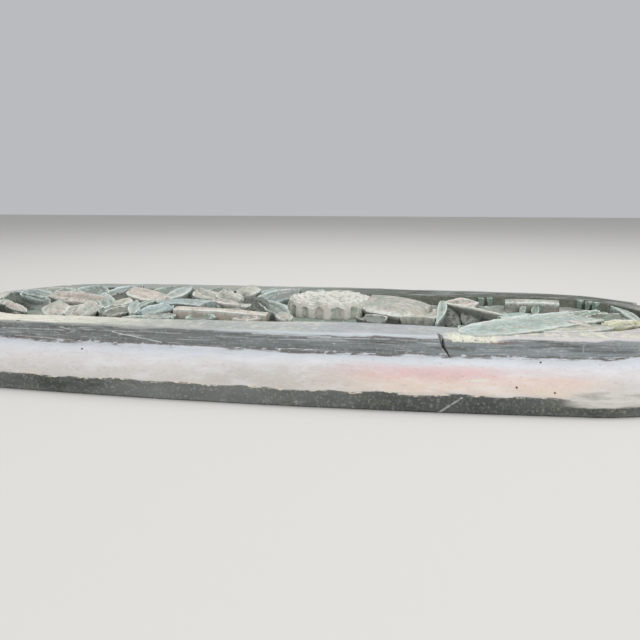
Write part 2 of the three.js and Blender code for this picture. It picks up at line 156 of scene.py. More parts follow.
def rough(points, size, seed=0):
    """Smooth random relief from -1 to 1 at points in millimetres, its lumps about size wide."""
    place = points / size + 37.2 * (seed + 1)
    cell = np.floor(place).astype(np.int64)
    part = place - cell
    part = part * part * (3 - 2 * part)
    total = np.zeros(place.shape[:-1])
    for corner in itertools.product((0, 1), repeat=3):
        key = ((cell + corner) * (73856093, 19349663, 83492791)).sum(axis=-1) % 100003
        value = np.modf(np.sin(key * 12.9898) * 43758.5453)[0]
        total += value * np.prod(np.where(corner, part, 1 - part), axis=-1)
    return total


def edge_bow(x):
    return EDGE_BOW * (1 - np.minimum(1, np.abs(x) / END_CENTRE) ** 2)


def field_edge(x, side):
    """Distance of the field's long edge from the middle line; it was cut by hand and swells inward."""
    across = np.clip((x - FIELD_SWELL["middle"]) / FIELD_SWELL["half"], -1, 1)
    near = FIELD_SWELL["near"] * np.cos(np.pi / 2 * across) ** 2
    far = FIELD_SWELL["far"] * (1 - np.minimum(1, np.abs(x) / END_CENTRE) ** 4)
    return FIELD_EDGE - np.where(side < 0, near, far)


def outline():
    """Places and outward normals along the rim's outer edge, anticlockwise from the near right."""
    end_angles = np.arange(0, np.pi, STATION_STEP["end"] / END_RADIUS)
    crack_low, crack_high = CRACK["x"] - 8, CRACK["x"] + CRACK["lean"] + 7
    near = np.concatenate([
        np.arange(-END_CENTRE, crack_low, STATION_STEP["near"]),
        np.arange(crack_low, crack_high, STATION_STEP["crack"]),
        np.arange(crack_high, END_CENTRE, STATION_STEP["near"]),
    ])
    far = np.arange(END_CENTRE, -END_CENTRE, -STATION_STEP["far"])
    pieces = []
    for side, middle in ((1, far), (-1, near)):
        angles = end_angles - side * np.pi / 2
        turned = np.stack([np.cos(angles), np.sin(angles)], axis=1)
        pieces.append(np.concatenate([turned * END_RADIUS + (side * END_CENTRE, 0), turned], axis=1))
        slope = 2 * EDGE_BOW * middle / END_CENTRE ** 2
        outward = np.stack([slope, np.full(len(middle), side)], axis=1)
        outward /= np.linalg.norm(outward, axis=1, keepdims=True)
        places = np.stack([middle, side * (END_RADIUS + edge_bow(middle))], axis=1)
        pieces.append(np.concatenate([places, outward], axis=1))
    table = np.concatenate(pieces)
    table = np.concatenate([table, table[:1]])
    return table[:, :2], table[:, 2:]


def board_rows(places, normals):
    """Rows of points from the middle of the back round the edge to the middle of the field."""
    x, y = places.T
    near = y < 0
    patch = ease(WORN_PATCH["start"], WORN_PATCH["start"] + 8, x) \
        * (1 - ease(WORN_PATCH["end"] - 12, WORN_PATCH["end"], x)) * near
    flat_points = np.stack([x, y, np.zeros(len(x))], axis=1)
    arris = np.where(near, ARRIS_CRISP + (ARRIS_WORN - ARRIS_CRISP) * ease(-120, 150, x), ARRIS_CRISP)
    arris = arris + WORN_PATCH["depth"] * patch + 0.7 * rough(flat_points, 14)
    arris = np.maximum(0.7, arris)
    broken = ease(BROKEN_ARRIS["start"], BROKEN_ARRIS["start"] + 30, x) * (normals[:, 1] < 0.2)
    broken = BROKEN_ARRIS["depth"] * broken * (0.55 + 0.45 * rough(flat_points, 11, 3))
    broken = np.maximum(0.8 + 0.3 * rough(flat_points, 9, 4), broken)
    inside = np.abs(x) < END_CENTRE
    width = RIM_WIDTH + np.where(inside, edge_bow(x) + FIELD_EDGE - field_edge(x, np.sign(y)), 0)
    middle_x = np.clip(x, -END_CENTRE, END_CENTRE)
    rows, girths = [], []

    def add_row(offset, height, girth):
        row = np.stack([x + normals[:, 0] * offset, y + normals[:, 1] * offset,
                        np.broadcast_to(height, x.shape)], axis=1)
        rows.append(row)
        girths.append(np.broadcast_to(girth, x.shape))

    def add_inner(share, offset, height, girth):
        row = np.stack([x + normals[:, 0] * offset, y + normals[:, 1] * offset], axis=1)
        spine = np.stack([middle_x, np.zeros(len(x))], axis=1)
        row = spine + (row - spine) * share
        rows.append(np.concatenate([row, np.full((len(x), 1), height)], axis=1))
        girths.append(np.full(len(x), girth))

    for share in (0, 0.3, 0.6, 0.8, 0.92, 0.98):
        add_inner(share, LEDGE_REACH - BACK_CHAMFER, 0.0, -60 * (1 - share) - 1)
    add_row(LEDGE_REACH - BACK_CHAMFER, 0.0, 0)
    for height in (BACK_CHAMFER, 2.4, 4.2, 6):
        add_row(LEDGE_REACH, height, height)
    slope = math.hypot(LEDGE_REACH, LEDGE_RISE)
    for turn in np.linspace(0, 1, 6):
        along = broken * (1 - turn)
        add_row(LEDGE_REACH - 0.35 * broken * turn * (2 - turn),
                EDGE_HEIGHT - along * (1 - 0.3 * turn), EDGE_HEIGHT - along)
    for step in np.linspace(0, 1, 20)[1:]:
        bulge = LEDGE_BULGE * math.sin(math.pi * step)
        start = 0.35 * broken * (1 - step) ** 3
        add_row(LEDGE_REACH * (1 - step) + bulge * LEDGE_RISE / slope - start,
                EDGE_HEIGHT + LEDGE_RISE * step + bulge * LEDGE_REACH / slope,
                EDGE_HEIGHT + slope * step)
    wall_start = EDGE_HEIGHT + slope
    for step in np.linspace(0, 1, 11):
        top = WALL_HEIGHT - arris
        add_row(-WALL_REBATE * (1 - step) ** 4, LEDGE_TOP + 0.3 + (top - 0.3) * step,
                wall_start + top * step)
    for turn in np.linspace(0, math.pi / 2, 7)[1:]:
        add_row(-arris * (1 - math.cos(turn)), RIM_TOP - arris * (1 - math.sin(turn)),
                wall_start + WALL_HEIGHT - arris + 1.57 * arris * turn / 1.57)
    rim_start = wall_start + WALL_HEIGHT + 1
    for step in np.linspace(0, 1, 22)[1:]:
        add_row(-arris + (arris - width + 0.8) * step, RIM_TOP, rim_start + (RIM_WIDTH - 1) * step)
    inner_start = rim_start + RIM_WIDTH
    for step in np.linspace(0, 1, 9):
        add_row(-width - FIELD_DRAFT * step, RIM_TOP - 0.8 - (FIELD_DEPTH - 0.8) * step,
                inner_start + 1 + FIELD_DEPTH * step)
    ground_start = inner_start + FIELD_DEPTH + 1
    for share in (0.94, 0.86, 0.76, 0.64, 0.5, 0.36, 0.22, 0.1, 0.0):
        add_inner(share, -RIM_WIDTH - FIELD_DRAFT, GROUND, ground_start + 55 * (1 - share))
    return np.stack(rows), np.stack(girths)


def bite(points, angle, side, length, bite, depth):
    """How far points of the rim sink where a bit is broken from the arris at an angle of an end."""
    turned = math.radians(angle)
    outward = np.array([math.cos(turned), math.sin(turned)])
    place = outward * END_RADIUS + (side * END_CENTRE, 0)
    shift = points[..., :2] - place
    along = shift @ np.array([-outward[1], outward[0]])
    inward = -(shift @ outward)
    jag = 1 + 0.35 * rough(points, 2.5, 8)
    reach = (1 - ease(0.6, 1.0, np.abs(along) * 2 / (length * jag))) \
        * (1 - ease(0.45, 1.0, inward / (bite * jag)))
    return depth * reach * (inward > -1)


def crack_depth(points):
    """How deep the crack goes at points of the near wall and rim."""
    x, y, z = np.moveaxis(points, -1, 0)
    face = -(END_RADIUS + edge_bow(x))
    drop = np.clip((RIM_TOP - z) / WALL_HEIGHT, 0, 1)
    inward = np.clip((y - face) / CRACK["bite"], 0, 1)
    line = CRACK["x"] + CRACK["lean"] * drop ** 1.5 - 2.2 * inward + 0.5 * rough(points, 4, 5)
    half = 0.5 * CRACK["width"] * (1 - 0.75 * drop) * (1 - inward) + 0.12
    lip = np.clip(1 - np.abs(x - line) / half, 0, 1)
    on_wall = (z > LEDGE_TOP - 0.5) & (y < face + CRACK["bite"])
    return CRACK["depth"] * lip ** 0.6 * on_wall * (1 - 0.8 * drop) * (1 - inward ** 2)


def surface_normals(rows):
    normal = np.cross(np.gradient(rows, axis=1), np.gradient(rows, axis=0))
    return normal / np.maximum(1e-9, np.linalg.norm(normal, axis=-1, keepdims=True))


SHARP_ANGLE = 38


class Carver:
    """Collects skins of points, in millimetres, and makes one mesh of them with its attributes."""

    def __init__(self):
        self.points, self.faces, self.values = [], [], []
        self.count = 0

    def skin(self, rows, **values):
        """Joins rows of points, an array of rows x points x 3, by four-sided faces."""
        rows_count, across = rows.shape[:2]
        place = self.count + np.arange(rows_count * across).reshape(rows_count, across)
        self.count += rows_count * across
        self.points.append(rows.reshape(-1, 3))
        self.values.append({name: np.broadcast_to(value, rows.shape[:2]).reshape(-1)
                            for name, value in values.items()})
        faces = np.stack([place[:-1, :-1], place[:-1, 1:], place[1:, 1:], place[1:, :-1]], axis=-1)
        self.faces.append(faces.reshape(-1, 4))

    def mesh(self, name, material, merge=0.0):
        data = bpy.data.meshes.new(name)
        points = np.concatenate(self.points) * MM
        data.from_pydata(points.tolist(), [], np.concatenate(self.faces).tolist())
        for value_name in self.values[0]:
            attribute = data.attributes.new(value_name, "FLOAT", "POINT")
            attribute.data.foreach_set("value", np.concatenate([v[value_name] for v in self.values]))
        made = bpy.data.objects.new(name, data)
        bpy.context.collection.objects.link(made)
        if merge:
            bpy.context.view_layer.objects.active = made
            weld = made.modifiers.new("weld", "WELD")
            weld.merge_threshold = merge * MM
            bpy.ops.object.modifier_apply(modifier=weld.name)
        made.data.shade_smooth()
        made.data.set_sharp_from_angle(angle=math.radians(SHARP_ANGLE))
        made.data.materials.append(material)
        return made


def layer(tree, mask, over, under):
    """Colour under, covered with over where mask is 1."""
    return add_node(tree, "ShaderNodeMix", {"data_type": "RGBA"}, {0: mask, 6: under, 7: over}).outputs[2]


def span(tree, value, low, high):
    """Mask that goes from 0 at low to 1 at high."""
    return add_node(tree, "ShaderNodeMapRange", {"interpolation_type": "SMOOTHSTEP"},
                    {"Value": value, "From Min": low, "From Max": high}).outputs["Result"]


def spots(tree, place, size, low, high, stretch=(1, 1, 1), detail=4.0):
    """Mask of irregular patches about size millimetres wide; stretch lengthens them by axis."""
    scaled = add_node(tree, "ShaderNodeVectorMath", {"operation": "DIVIDE"}, {0: place, 1: stretch})
    noise = add_node(tree, "ShaderNodeTexNoise", {}, {
        "Vector": scaled.outputs[0], "Scale": 1 / (size * MM), "Detail": detail, "Roughness": 0.6})
    return span(tree, noise.outputs["Fac"], low, high)


def maths(tree, operation, first, second=0.0):
    return add_node(tree, "ShaderNodeMath", {"operation": operation, "use_clamp": False},
                    {0: first, 1: second}).outputs[0]


# What the eye sees on the board: thin old lacquer and paint in bands that follow the moulding, all
# dusty and rubbed, the bands' limits flaky, with bare wood on the back and where the ledge is broken.
BACK_WOOD = ("8C7F6C", "6A5D4B")
EDGE_LACQUER = ("6A6D69", "85836C", "4B4E49")
LEDGE_HIGH, LEDGE_MIDDLE, LEDGE_LOW = "DDE1E6", "DAD7D6", "D0CBC5"
LEDGE_RED, LEDGE_PEACH, LEDGE_SMEAR = "DCA8A5", "E4D0C0", "B3B1AF"
WALL_LEFT, WALL_RIGHT, WALL_DARK, WALL_LIGHT = "7C8180", "8F9698", "666967", "A2A6A6"
SCRATCH = "C6CACA"
RIM_GREY, RIM_GREEN, RIM_PINK, RIM_GOLD = "B0B4B5", "9EA4A0", "C6BEBB", "DEDCC4"
RIM_DUSKY = "ABAFA8"
RIM_FAR = ("8B928C", "A3A9A2")
RIM_FAR_RIGHT = ("4E5048", "6E726A")
RIM_CREAM = "E0DCCE"
ARRIS_LEFT, ARRIS_MIDDLE, ARRIS_RIGHT = "A2A49F", "C2C8CC", "CBC5C4"
INNER_OLIVE, SHADED_GROUND_DARK = "6B6F63", "4B4D43"
BROKEN_WOOD = "D2D0C9"
RED_BROWN, FOOT_BROWN = "7C5450", "7D7068"
HOLE_DARK = "1E1C19"
# Insect holes: x, y, z and radius. They are not cut but painted as near-black spots: painted shade.
INSECT_HOLES = [(-158, -81, 38, 1.1), (-113, -89.7, 23.9, 0.6), (144, -85.6, 25.5, 0.6),
                (131, -97.1, 14.5, 0.6), (150, -97, 12.5, 0.6)]
# Scratches and smears: start and end as (x, girth), half width, colour. The last two follow the crack: a dark brown
# line of bare wood in it, and a light line on its left lip that is a painted highlight.
MARKS = [((-95, 39.4), (-65, 34.2), 0.5, "C8CCCA"), ((-168, 38.4), (-127, 39), 0.5, "B4B8B6"),
         ((-11, 41.8), (33, 41.2), 0.5, "C4C8C8"), ((20, 40.4), (65, 41), 0.4, "BFC3C4"),
         ((-160, 34), (-120, 33), 0.5, "B0A9A4"), ((106, 17.4), (116.5, 18.6), 1.2, "DCDACB"),
         ((91.5, 0), (103.5, 8.7), 0.7, "A7A9A6"), ((165.5, 35.5), (165.3, 40), 0.5, "979E9F"),
         ((92.4, 38), (96.6, 32.4), 0.5, "62554B"), ((91.6, 38), (95.8, 32.4), 0.35, "B2B6B3")]
board_skin = bpy.data.materials.new("old_lacquer_and_paint_on_wood")
board_skin.use_nodes = True
tree = board_skin.node_tree
place = add_node(tree, "ShaderNodeTexCoord").outputs["Object"]
axes = add_node(tree, "ShaderNodeSeparateXYZ", {}, {0: place})
x_place, y_place = axes.outputs["X"], axes.outputs["Y"]
girth = add_node(tree, "ShaderNodeAttribute", {"attribute_name": "girth"}).outputs["Fac"]
# Streaks follow the moulding, so the patterns are laid out along the outline, round both ends.
from_middle = maths(tree, "ABSOLUTE", x_place)
past_end = maths(tree, "MAXIMUM", maths(tree, "SUBTRACT", from_middle, END_CENTRE * MM), 0)
turned = maths(tree, "MULTIPLY", maths(tree, "ARCTAN2", past_end, maths(tree, "ABSOLUTE", y_place)), END_RADIUS * MM)
along = maths(tree, "ADD", maths(tree, "SUBTRACT", from_middle, past_end), turned)
radial = add_node(tree, "ShaderNodeCombineXYZ", {}, {"X": past_end, "Y": y_place}).outputs[0]
radial = add_node(tree, "ShaderNodeVectorMath", {"operation": "LENGTH"}, {0: radial}).outputs["Value"]
far_shift = maths(tree, "MULTIPLY", span(tree, y_place, -0.06, 0.06), 12 * MM)
laid = add_node(tree, "ShaderNodeCombineXYZ", {}, {
    "X": maths(tree, "MULTIPLY", maths(tree, "SIGN", x_place), along),
    "Y": maths(tree, "MULTIPLY", radial, -1), "Z": maths(tree, "ADD", axes.outputs["Z"], far_shift)}).outputs[0]
wander = spots(tree, laid, 9, 0.3, 0.7, stretch=(3, 1, 1))
limit = maths(tree, "ADD", girth, maths(tree, "MULTIPLY", maths(tree, "SUBTRACT", wander, 0.5), 1.8))


def window(value, start, full, fading, end):
    """Mask that is 1 from full to fading and falls to 0 at start and end."""
    return maths(tree, "MULTIPLY", span(tree, value, start, full),
                 maths(tree, "SUBTRACT", 1, span(tree, value, fading, end)))


def both(*masks):
    product = masks[0]
    for mask in masks[1:]:
        product = maths(tree, "MULTIPLY", product, mask)
    return product


grain = spots(tree, laid, 3, 0.35, 0.7, stretch=(30, 1, 1))
colour = layer(tree, grain, srgb(BACK_WOOD[1]), srgb(BACK_WOOD[0]))
edge = layer(tree, spots(tree, laid, 12, 0.4, 0.7, stretch=(3, 1, 1)), srgb(EDGE_LACQUER[2]),
             srgb(EDGE_LACQUER[0]))
flecks = both(spots(tree, laid, 2.2, 0.5, 0.68), spots(tree, laid, 26, 0.38, 0.62))
edge = layer(tree, maths(tree, "MULTIPLY", flecks, 0.6), srgb(EDGE_LACQUER[1]), edge)
edge = layer(tree, maths(tree, "MULTIPLY", spots(tree, laid, 1, 0.64, 0.74, stretch=(3, 1, 1)), 0.45),
             srgb("A5A8A4"), edge)
edge = layer(tree, maths(tree, "MULTIPLY", window(x_place, 0.03, 0.09, 0.12, 0.17), 0.55), srgb("434543"), edge)
edge = layer(tree, maths(tree, "MULTIPLY", window(x_place, -0.1, -0.06, -0.03, 0.02), 0.4), srgb("8B8F8C"), edge)
colour = layer(tree, span(tree, girth, -0.5, 0.5), edge, colour)

ledge = layer(tree, span(tree, limit, 13, 24), srgb(LEDGE_MIDDLE), srgb(LEDGE_LOW))
peach = both(window(x_place, -0.01, 0.08, 0.15, 0.19), window(limit, 10, 12, 18, 22))
ledge = layer(tree, maths(tree, "MULTIPLY", peach, 0.8), srgb(LEDGE_PEACH), ledge)
near_side = maths(tree, "SUBTRACT", 1, span(tree, y_place, -0.02, 0.02))
red = both(window(x_place, 0.03, 0.065, 0.1, 0.14), window(girth, 17, 21, 23, 28), near_side,
           spots(tree, laid, 20, 0.3, 0.6, stretch=(3, 1, 1)))
ledge = layer(tree, maths(tree, "MULTIPLY", red, 0.85), srgb(LEDGE_RED), ledge)
red = both(window(x_place, 0.02, 0.07, 0.15, 0.2), window(girth, 14, 19, 26, 30), near_side,
           spots(tree, laid, 34, 0.35, 0.65, stretch=(3, 1, 1)))
ledge = layer(tree, maths(tree, "MULTIPLY", red, 0.35), srgb(LEDGE_RED), ledge)
ledge = layer(tree, span(tree, limit, 23, 30), srgb(LEDGE_HIGH), ledge)
dulled = both(window(x_place, -0.06, -0.01, 0.03, 0.07), window(limit, 10, 12, 20, 26))
ledge = layer(tree, maths(tree, "MULTIPLY", dulled, 0.35), srgb("B3ABA3"), ledge)
smear = spots(tree, laid, 8, 0.55, 0.8, stretch=(9, 1, 1))
ledge = layer(tree, maths(tree, "MULTIPLY", smear, 0.45), srgb(LEDGE_SMEAR), ledge)
ledge = layer(tree, spots(tree, laid, 1.6, 0.72, 0.76, stretch=(2, 1, 1)), srgb("938A80"), ledge)
ledge = layer(tree, maths(tree, "MULTIPLY", spots(tree, laid, 5, 0.45, 0.7, stretch=(3, 1, 1)), 0.3),
              srgb("EDEFF3"), ledge)
ledge = layer(tree, maths(tree, "MULTIPLY", spots(tree, laid, 3.4, 0.5, 0.75, stretch=(3, 1, 1)), 0.22),
              srgb("BBB2AF"), ledge)
colour = layer(tree, span(tree, limit, EDGE_HEIGHT - 0.5, EDGE_HEIGHT + 0.5), ledge, colour)
crumbled = both(spots(tree, laid, 1.5, 0.52, 0.6, stretch=(3, 1, 1)), window(
    limit, EDGE_HEIGHT - 1.2, EDGE_HEIGHT - 0.4, EDGE_HEIGHT + 0.3, EDGE_HEIGHT + 0.9))
colour = layer(tree, crumbled, srgb("E0D2C0"), colour)
bare = both(span(tree, x_place, 0.15, 0.165), window(limit, 4.8, 6.2, 13, 14.5))
wood = layer(tree, spots(tree, laid, 2.4, 0.4, 0.7, stretch=(6, 1, 1)), srgb("B0ADA3"), srgb(BROKEN_WOOD))
colour = layer(tree, bare, wood, colour)

wall_start = EDGE_HEIGHT + math.hypot(LEDGE_REACH, LEDGE_RISE)
rim_start = wall_start + WALL_HEIGHT
wall = layer(tree, span(tree, x_place, -0.05, 0.18), srgb(WALL_RIGHT), srgb(WALL_LEFT))
wall = layer(tree, spots(tree, laid, 2, 0.42, 0.72, stretch=(22, 1, 1)), srgb(WALL_DARK), wall)
wall = layer(tree, spots(tree, laid, 1.3, 0.5, 0.74, stretch=(18, 1, 1)), srgb(WALL_LIGHT), wall)
scratches = spots(tree, laid, 0.7, 0.60, 0.68, stretch=(70, 1, 1), detail=2)
wall = layer(tree, maths(tree, "MULTIPLY", scratches, 0.8), srgb(SCRATCH), wall)
wall = layer(tree, spots(tree, laid, 1.1, 0.68, 0.73, stretch=(3, 1, 1)), srgb(SCRATCH), wall)
brown = both(window(x_place, -0.01, 0.03, 0.085, 0.092), window(limit, rim_start - 3, rim_start - 2.4,
             rim_start - 1.4, rim_start - 0.9))
wall = layer(tree, maths(tree, "MULTIPLY", brown, 0.2), srgb(RED_BROWN), wall)
dark_red = both(window(x_place, 0.1165, 0.119, 0.122, 0.14), window(limit, rim_start - 3.6,
                rim_start - 2.9, rim_start - 2.2, rim_start - 1.2))
wall = layer(tree, maths(tree, "MULTIPLY", dark_red, 0.6), srgb(RED_BROWN), wall)
foot_line = window(limit, wall_start + 0.1, wall_start + 0.5, wall_start + 0.9, wall_start + 1.6)
wall = layer(tree, maths(tree, "MULTIPLY", foot_line, 0.55), srgb(FOOT_BROWN), wall)
flaked = both(spots(tree, laid, 1.4, 0.56, 0.62, stretch=(4, 1, 1)), window(girth, wall_start - 1,
              wall_start, wall_start + 1.2, wall_start + 2.2))
wall = layer(tree, flaked, srgb(LEDGE_HIGH), wall)
colour = layer(tree, span(tree, limit, wall_start - 0.3, wall_start + 0.6), wall, colour)

rim = layer(tree, span(tree, x_place, -0.05, 0.05), srgb(RIM_GREY), srgb(RIM_DUSKY))
rim = layer(tree, spots(tree, laid, 8, 0.4, 0.75, stretch=(5, 1, 1)), srgb(RIM_GREEN), rim)
rim = layer(tree, spots(tree, laid, 20, 0.5, 0.7, stretch=(2, 1, 1)), srgb(RIM_PINK), rim)
cream = both(maths(tree, "SUBTRACT", 1, span(tree, x_place, -0.15, -0.06)),
             spots(tree, laid, 16, 0.2, 0.55, stretch=(3, 1, 1)))
rim = layer(tree, cream, srgb(RIM_CREAM), rim)
rim = layer(tree, maths(tree, "MULTIPLY", span(tree, x_place, 0.09, 0.15), 0.7), srgb(RIM_PINK), rim)
rim = layer(tree, maths(tree, "MULTIPLY", spots(tree, laid, 2.6, 0.48, 0.68, stretch=(2, 1, 1)), 0.45),
            srgb("8F958D"), rim)
rim = layer(tree, maths(tree, "MULTIPLY", spots(tree, laid, 2, 0.5, 0.66, stretch=(2, 1, 1)), 0.5),
            srgb("D6D7CF"), rim)
rim = layer(tree, maths(tree, "MULTIPLY", window(x_place, 0.01, 0.04, 0.075, 0.093), 0.45), srgb("A0A2A8"), rim)
gold = both(spots(tree, laid, 2.6, 0.46, 0.62, stretch=(1.6, 3, 1)), spots(tree, laid, 24, 0.42, 0.58),
            maths(tree, "ADD", 0.35, maths(tree, "MULTIPLY", span(tree, x_place, 0.09, 0.13), 0.5)))
rim = layer(tree, gold, srgb(RIM_GOLD), rim)
patch = both(window(x_place, 0.092, 0.099, 0.119, 0.126), window(y_place, -0.1, -0.099, -0.079, -0.072))
far = layer(tree, spots(tree, laid, 7, 0.35, 0.7, stretch=(4, 1, 1)), srgb(RIM_FAR[1]), srgb(RIM_FAR[0]))
far_right = layer(tree, spots(tree, laid, 3.4, 0.3, 0.72, stretch=(3, 1, 1)), srgb(RIM_FAR_RIGHT[1]),
                  srgb(RIM_FAR_RIGHT[0]))
far = layer(tree, spots(tree, laid, 16, 0.5, 0.7, stretch=(3, 1, 1)), srgb("A79F94"), far)
far = layer(tree, maths(tree, "MULTIPLY", spots(tree, laid, 2.4, 0.6, 0.75), 0.7), srgb("B9BCB2"), far)
far = layer(tree, span(tree, x_place, -0.08, 0.08), far_right, far)
streaks = both(window(x_place, 0.05, 0.09, 0.2, 0.23), spots(tree, laid, 4, 0.48, 0.64, stretch=(5, 1.5, 1)))
far = layer(tree, maths(tree, "MULTIPLY", streaks, 0.6), srgb("A3A9A7"), far)
outer = window(girth, rim_start - 1, rim_start + 0.5, rim_start + 2, rim_start + 5)
far = layer(tree, maths(tree, "MULTIPLY", outer, 0.7), srgb("A9AEAA"), far)
rim = layer(tree, span(tree, y_place, -0.03, 0.06), far, rim)
arris = layer(tree, span(tree, x_place, -0.07, 0.02), srgb(ARRIS_MIDDLE), srgb(ARRIS_LEFT))
arris = layer(tree, span(tree, x_place, 0.06, 0.14), srgb(ARRIS_RIGHT), arris)
arris = layer(tree, span(tree, y_place, -0.03, 0.06), srgb("979C95"), arris)
colour = layer(tree, span(tree, limit, rim_start - 1.6, rim_start - 0.6), arris, colour)
colour = layer(tree, span(tree, limit, rim_start + 0.6, rim_start + 3.4), rim, colour)
patch = both(patch, span(tree, girth, rim_start - 3.4, rim_start - 2.4))
colour = layer(tree, both(patch, spots(tree, laid, 2.2, 0.4, 0.56)), srgb("E0DDCE"), colour)
colour = layer(tree, both(patch, spots(tree, laid, 1.5, 0.5, 0.6)), srgb("E6E4C8"), colour)
inner_start = rim_start + RIM_WIDTH
inner = layer(tree, spots(tree, laid, 6, 0.4, 0.7), srgb("83887C"), srgb(INNER_OLIVE))
colour = layer(tree, span(tree, limit, inner_start + 0.6, inner_start + 1.8), inner, colour)
# The sunk ground, and the inner wall down towards it, painted dark: painted shade.
colour = layer(tree, span(tree, limit, inner_start + 7, inner_start + 14), srgb(SHADED_GROUND_DARK), colour)
colour = layer(tree, maths(tree, "MULTIPLY", spots(tree, laid, 1.6, 0.5, 0.75), 0.22), srgb("E2E4E2"), colour)
colour = layer(tree, maths(tree, "MULTIPLY", spots(tree, laid, 1.2, 0.55, 0.8, stretch=(2, 1, 1)), 0.3),
               srgb("5C5E5A"), colour)
for start, end, mark_width, code in MARKS:
    length = math.dist(start, end)
    run = [(b - a) / length for a, b in zip(start, end)]
    flat = add_node(tree, "ShaderNodeCombineXYZ", {}, {"X": maths(tree, "DIVIDE", x_place, MM), "Y": girth})
    shift = add_node(tree, "ShaderNodeVectorMath", {"operation": "SUBTRACT"},
                     {0: flat.outputs[0], 1: (*start, 0)}).outputs[0]
    reach = add_node(tree, "ShaderNodeVectorMath", {"operation": "DOT_PRODUCT"},
                     {0: shift, 1: (*run, 0)}).outputs["Value"]
    reach = maths(tree, "MINIMUM", maths(tree, "MAXIMUM", reach, 0), length)
    nearest = add_node(tree, "ShaderNodeVectorMath", {"operation": "SCALE"},
                       {0: (*run, 0), "Scale": reach}).outputs[0]
    away = add_node(tree, "ShaderNodeVectorMath", {"operation": "DISTANCE"}, {0: shift, 1: nearest})
    drawn = maths(tree, "SUBTRACT", 1, span(tree, away.outputs["Value"], 0.3 * mark_width, mark_width))
    drawn = both(drawn, near_side, spots(tree, laid, 1.5, 0.3, 0.5, stretch=(3, 1, 1)))
    colour = layer(tree, drawn, srgb(code), colour)
# Each insect hole is a near-black spot: painted shade, as the holes are not cut.
for *hole, radius in INSECT_HOLES:
    centre = [value * MM for value in hole]
    away = add_node(tree, "ShaderNodeVectorMath", {"operation": "DISTANCE"}, {0: place, 1: centre})
    inside = maths(tree, "SUBTRACT", 1, span(tree, away.outputs["Value"], 0.6 * radius * MM,
                                             1.5 * radius * MM))
    colour = layer(tree, inside, srgb(HOLE_DARK), colour)

lumps = add_node(tree, "ShaderNodeTexNoise", {}, {
    "Vector": place, "Scale": 1 / (1.6 * MM), "Detail": 4.0, "Roughness": 0.65})
bump = add_node(tree, "ShaderNodeBump", {}, {
    "Height": lumps.outputs["Fac"], "Strength": 0.35, "Distance": 0.4 * MM})
body = tree.nodes["Principled BSDF"]
body.inputs["Roughness"].default_value = 0.8
body.inputs["Specular IOR Level"].default_value = 0.15
tree.links.new(colour, body.inputs["Base Color"])
tree.links.new(bump.outputs[0], body.inputs["Normal"])

places, normals = outline()
rows, girths = board_rows(places, normals)
relief = 0.28 * rough(rows, 26, 1) + 0.12 * rough(rows, 7, 2) + 0.07 * rough(rows, 2.6, 6)
relief = np.where(girths > EDGE_HEIGHT - 1, relief - 0.3, np.minimum(0, relief - 0.25))
relief *= ease(-2, 3, girths)
rows = rows + surface_normals(rows) * relief[..., None]
outward = np.concatenate([normals, np.zeros((len(normals), 1))], axis=1)
cracked = crack_depth(rows)
rim_share = ease(rim_start - 2, rim_start + 1, girths)
rows = rows - outward[None] * (cracked * (1 - rim_share))[..., None]
rows[..., 2] -= cracked * rim_share
rows[..., 2] -= bite(rows, side=1, **RIM_CHIP) * (girths > wall_start) * (girths < inner_start)
rows[..., 2] -= bite(rows, side=-1, **RIM_NICK) * (girths > wall_start) * (girths < inner_start)
rows[..., 2] = np.clip(rows[..., 2], 0, RIM_TOP)
rows[:, -1] = rows[:, 0]
carver = Carver()
carver.skin(rows, girth=girths)
board = carver.mesh("board", board_skin, merge=0.01)
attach(board, "root")
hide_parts("carved_panel")


# The foliage: leaves cut from the same plank by gouge and knife, in two layers round the bloom. The
# lower ones lie near the sunk ground, the upper ones reach the height of the rim.
# Tones of the rubbed gilding. Brown darkens the leaves that lie in deep hollows, in folds and on shaded facets:
# painted shade.
TONES = {"olive": "70746A", "moss": "617264", "green": "769284", "grey": "A3A9A0", "blue": "A8BABD",
         "light": "B8C8C2", "cream": "C6C3B7", "dusty": "B4B2A8", "petal": "DEDBD1", "yellow": "D2CFA6", "peach": "D6C7BC", "brown": "5F5C50"}
TONE_NAMES = list(TONES)
LEAF_STATIONS = 38
LEAF_ACROSS = 20
LOBES = 3
BLUNT_TIP = 0.7
FOOT_SINK = 1
BLOOM_PLACE = (19, 8)
# Where each lower leaf starts and ends, counted along both long sides of the field
LOW_LEAVES = {"count": 12, "pitch": 32, "reach": 46, "width": 29, "height": 30.5}
MIDDLE_LEAVES = {"starts": (-206, -178, -150, -122, -94, -66, 128, 156), "reach": 38, "width": 27,
                 "height": 30}
BLOOM_LEAVES = {"count": 11, "inner": 24, "outer": 52, "width": 23, "height": 31}
LOW_TONES = ("green", "grey", "olive")
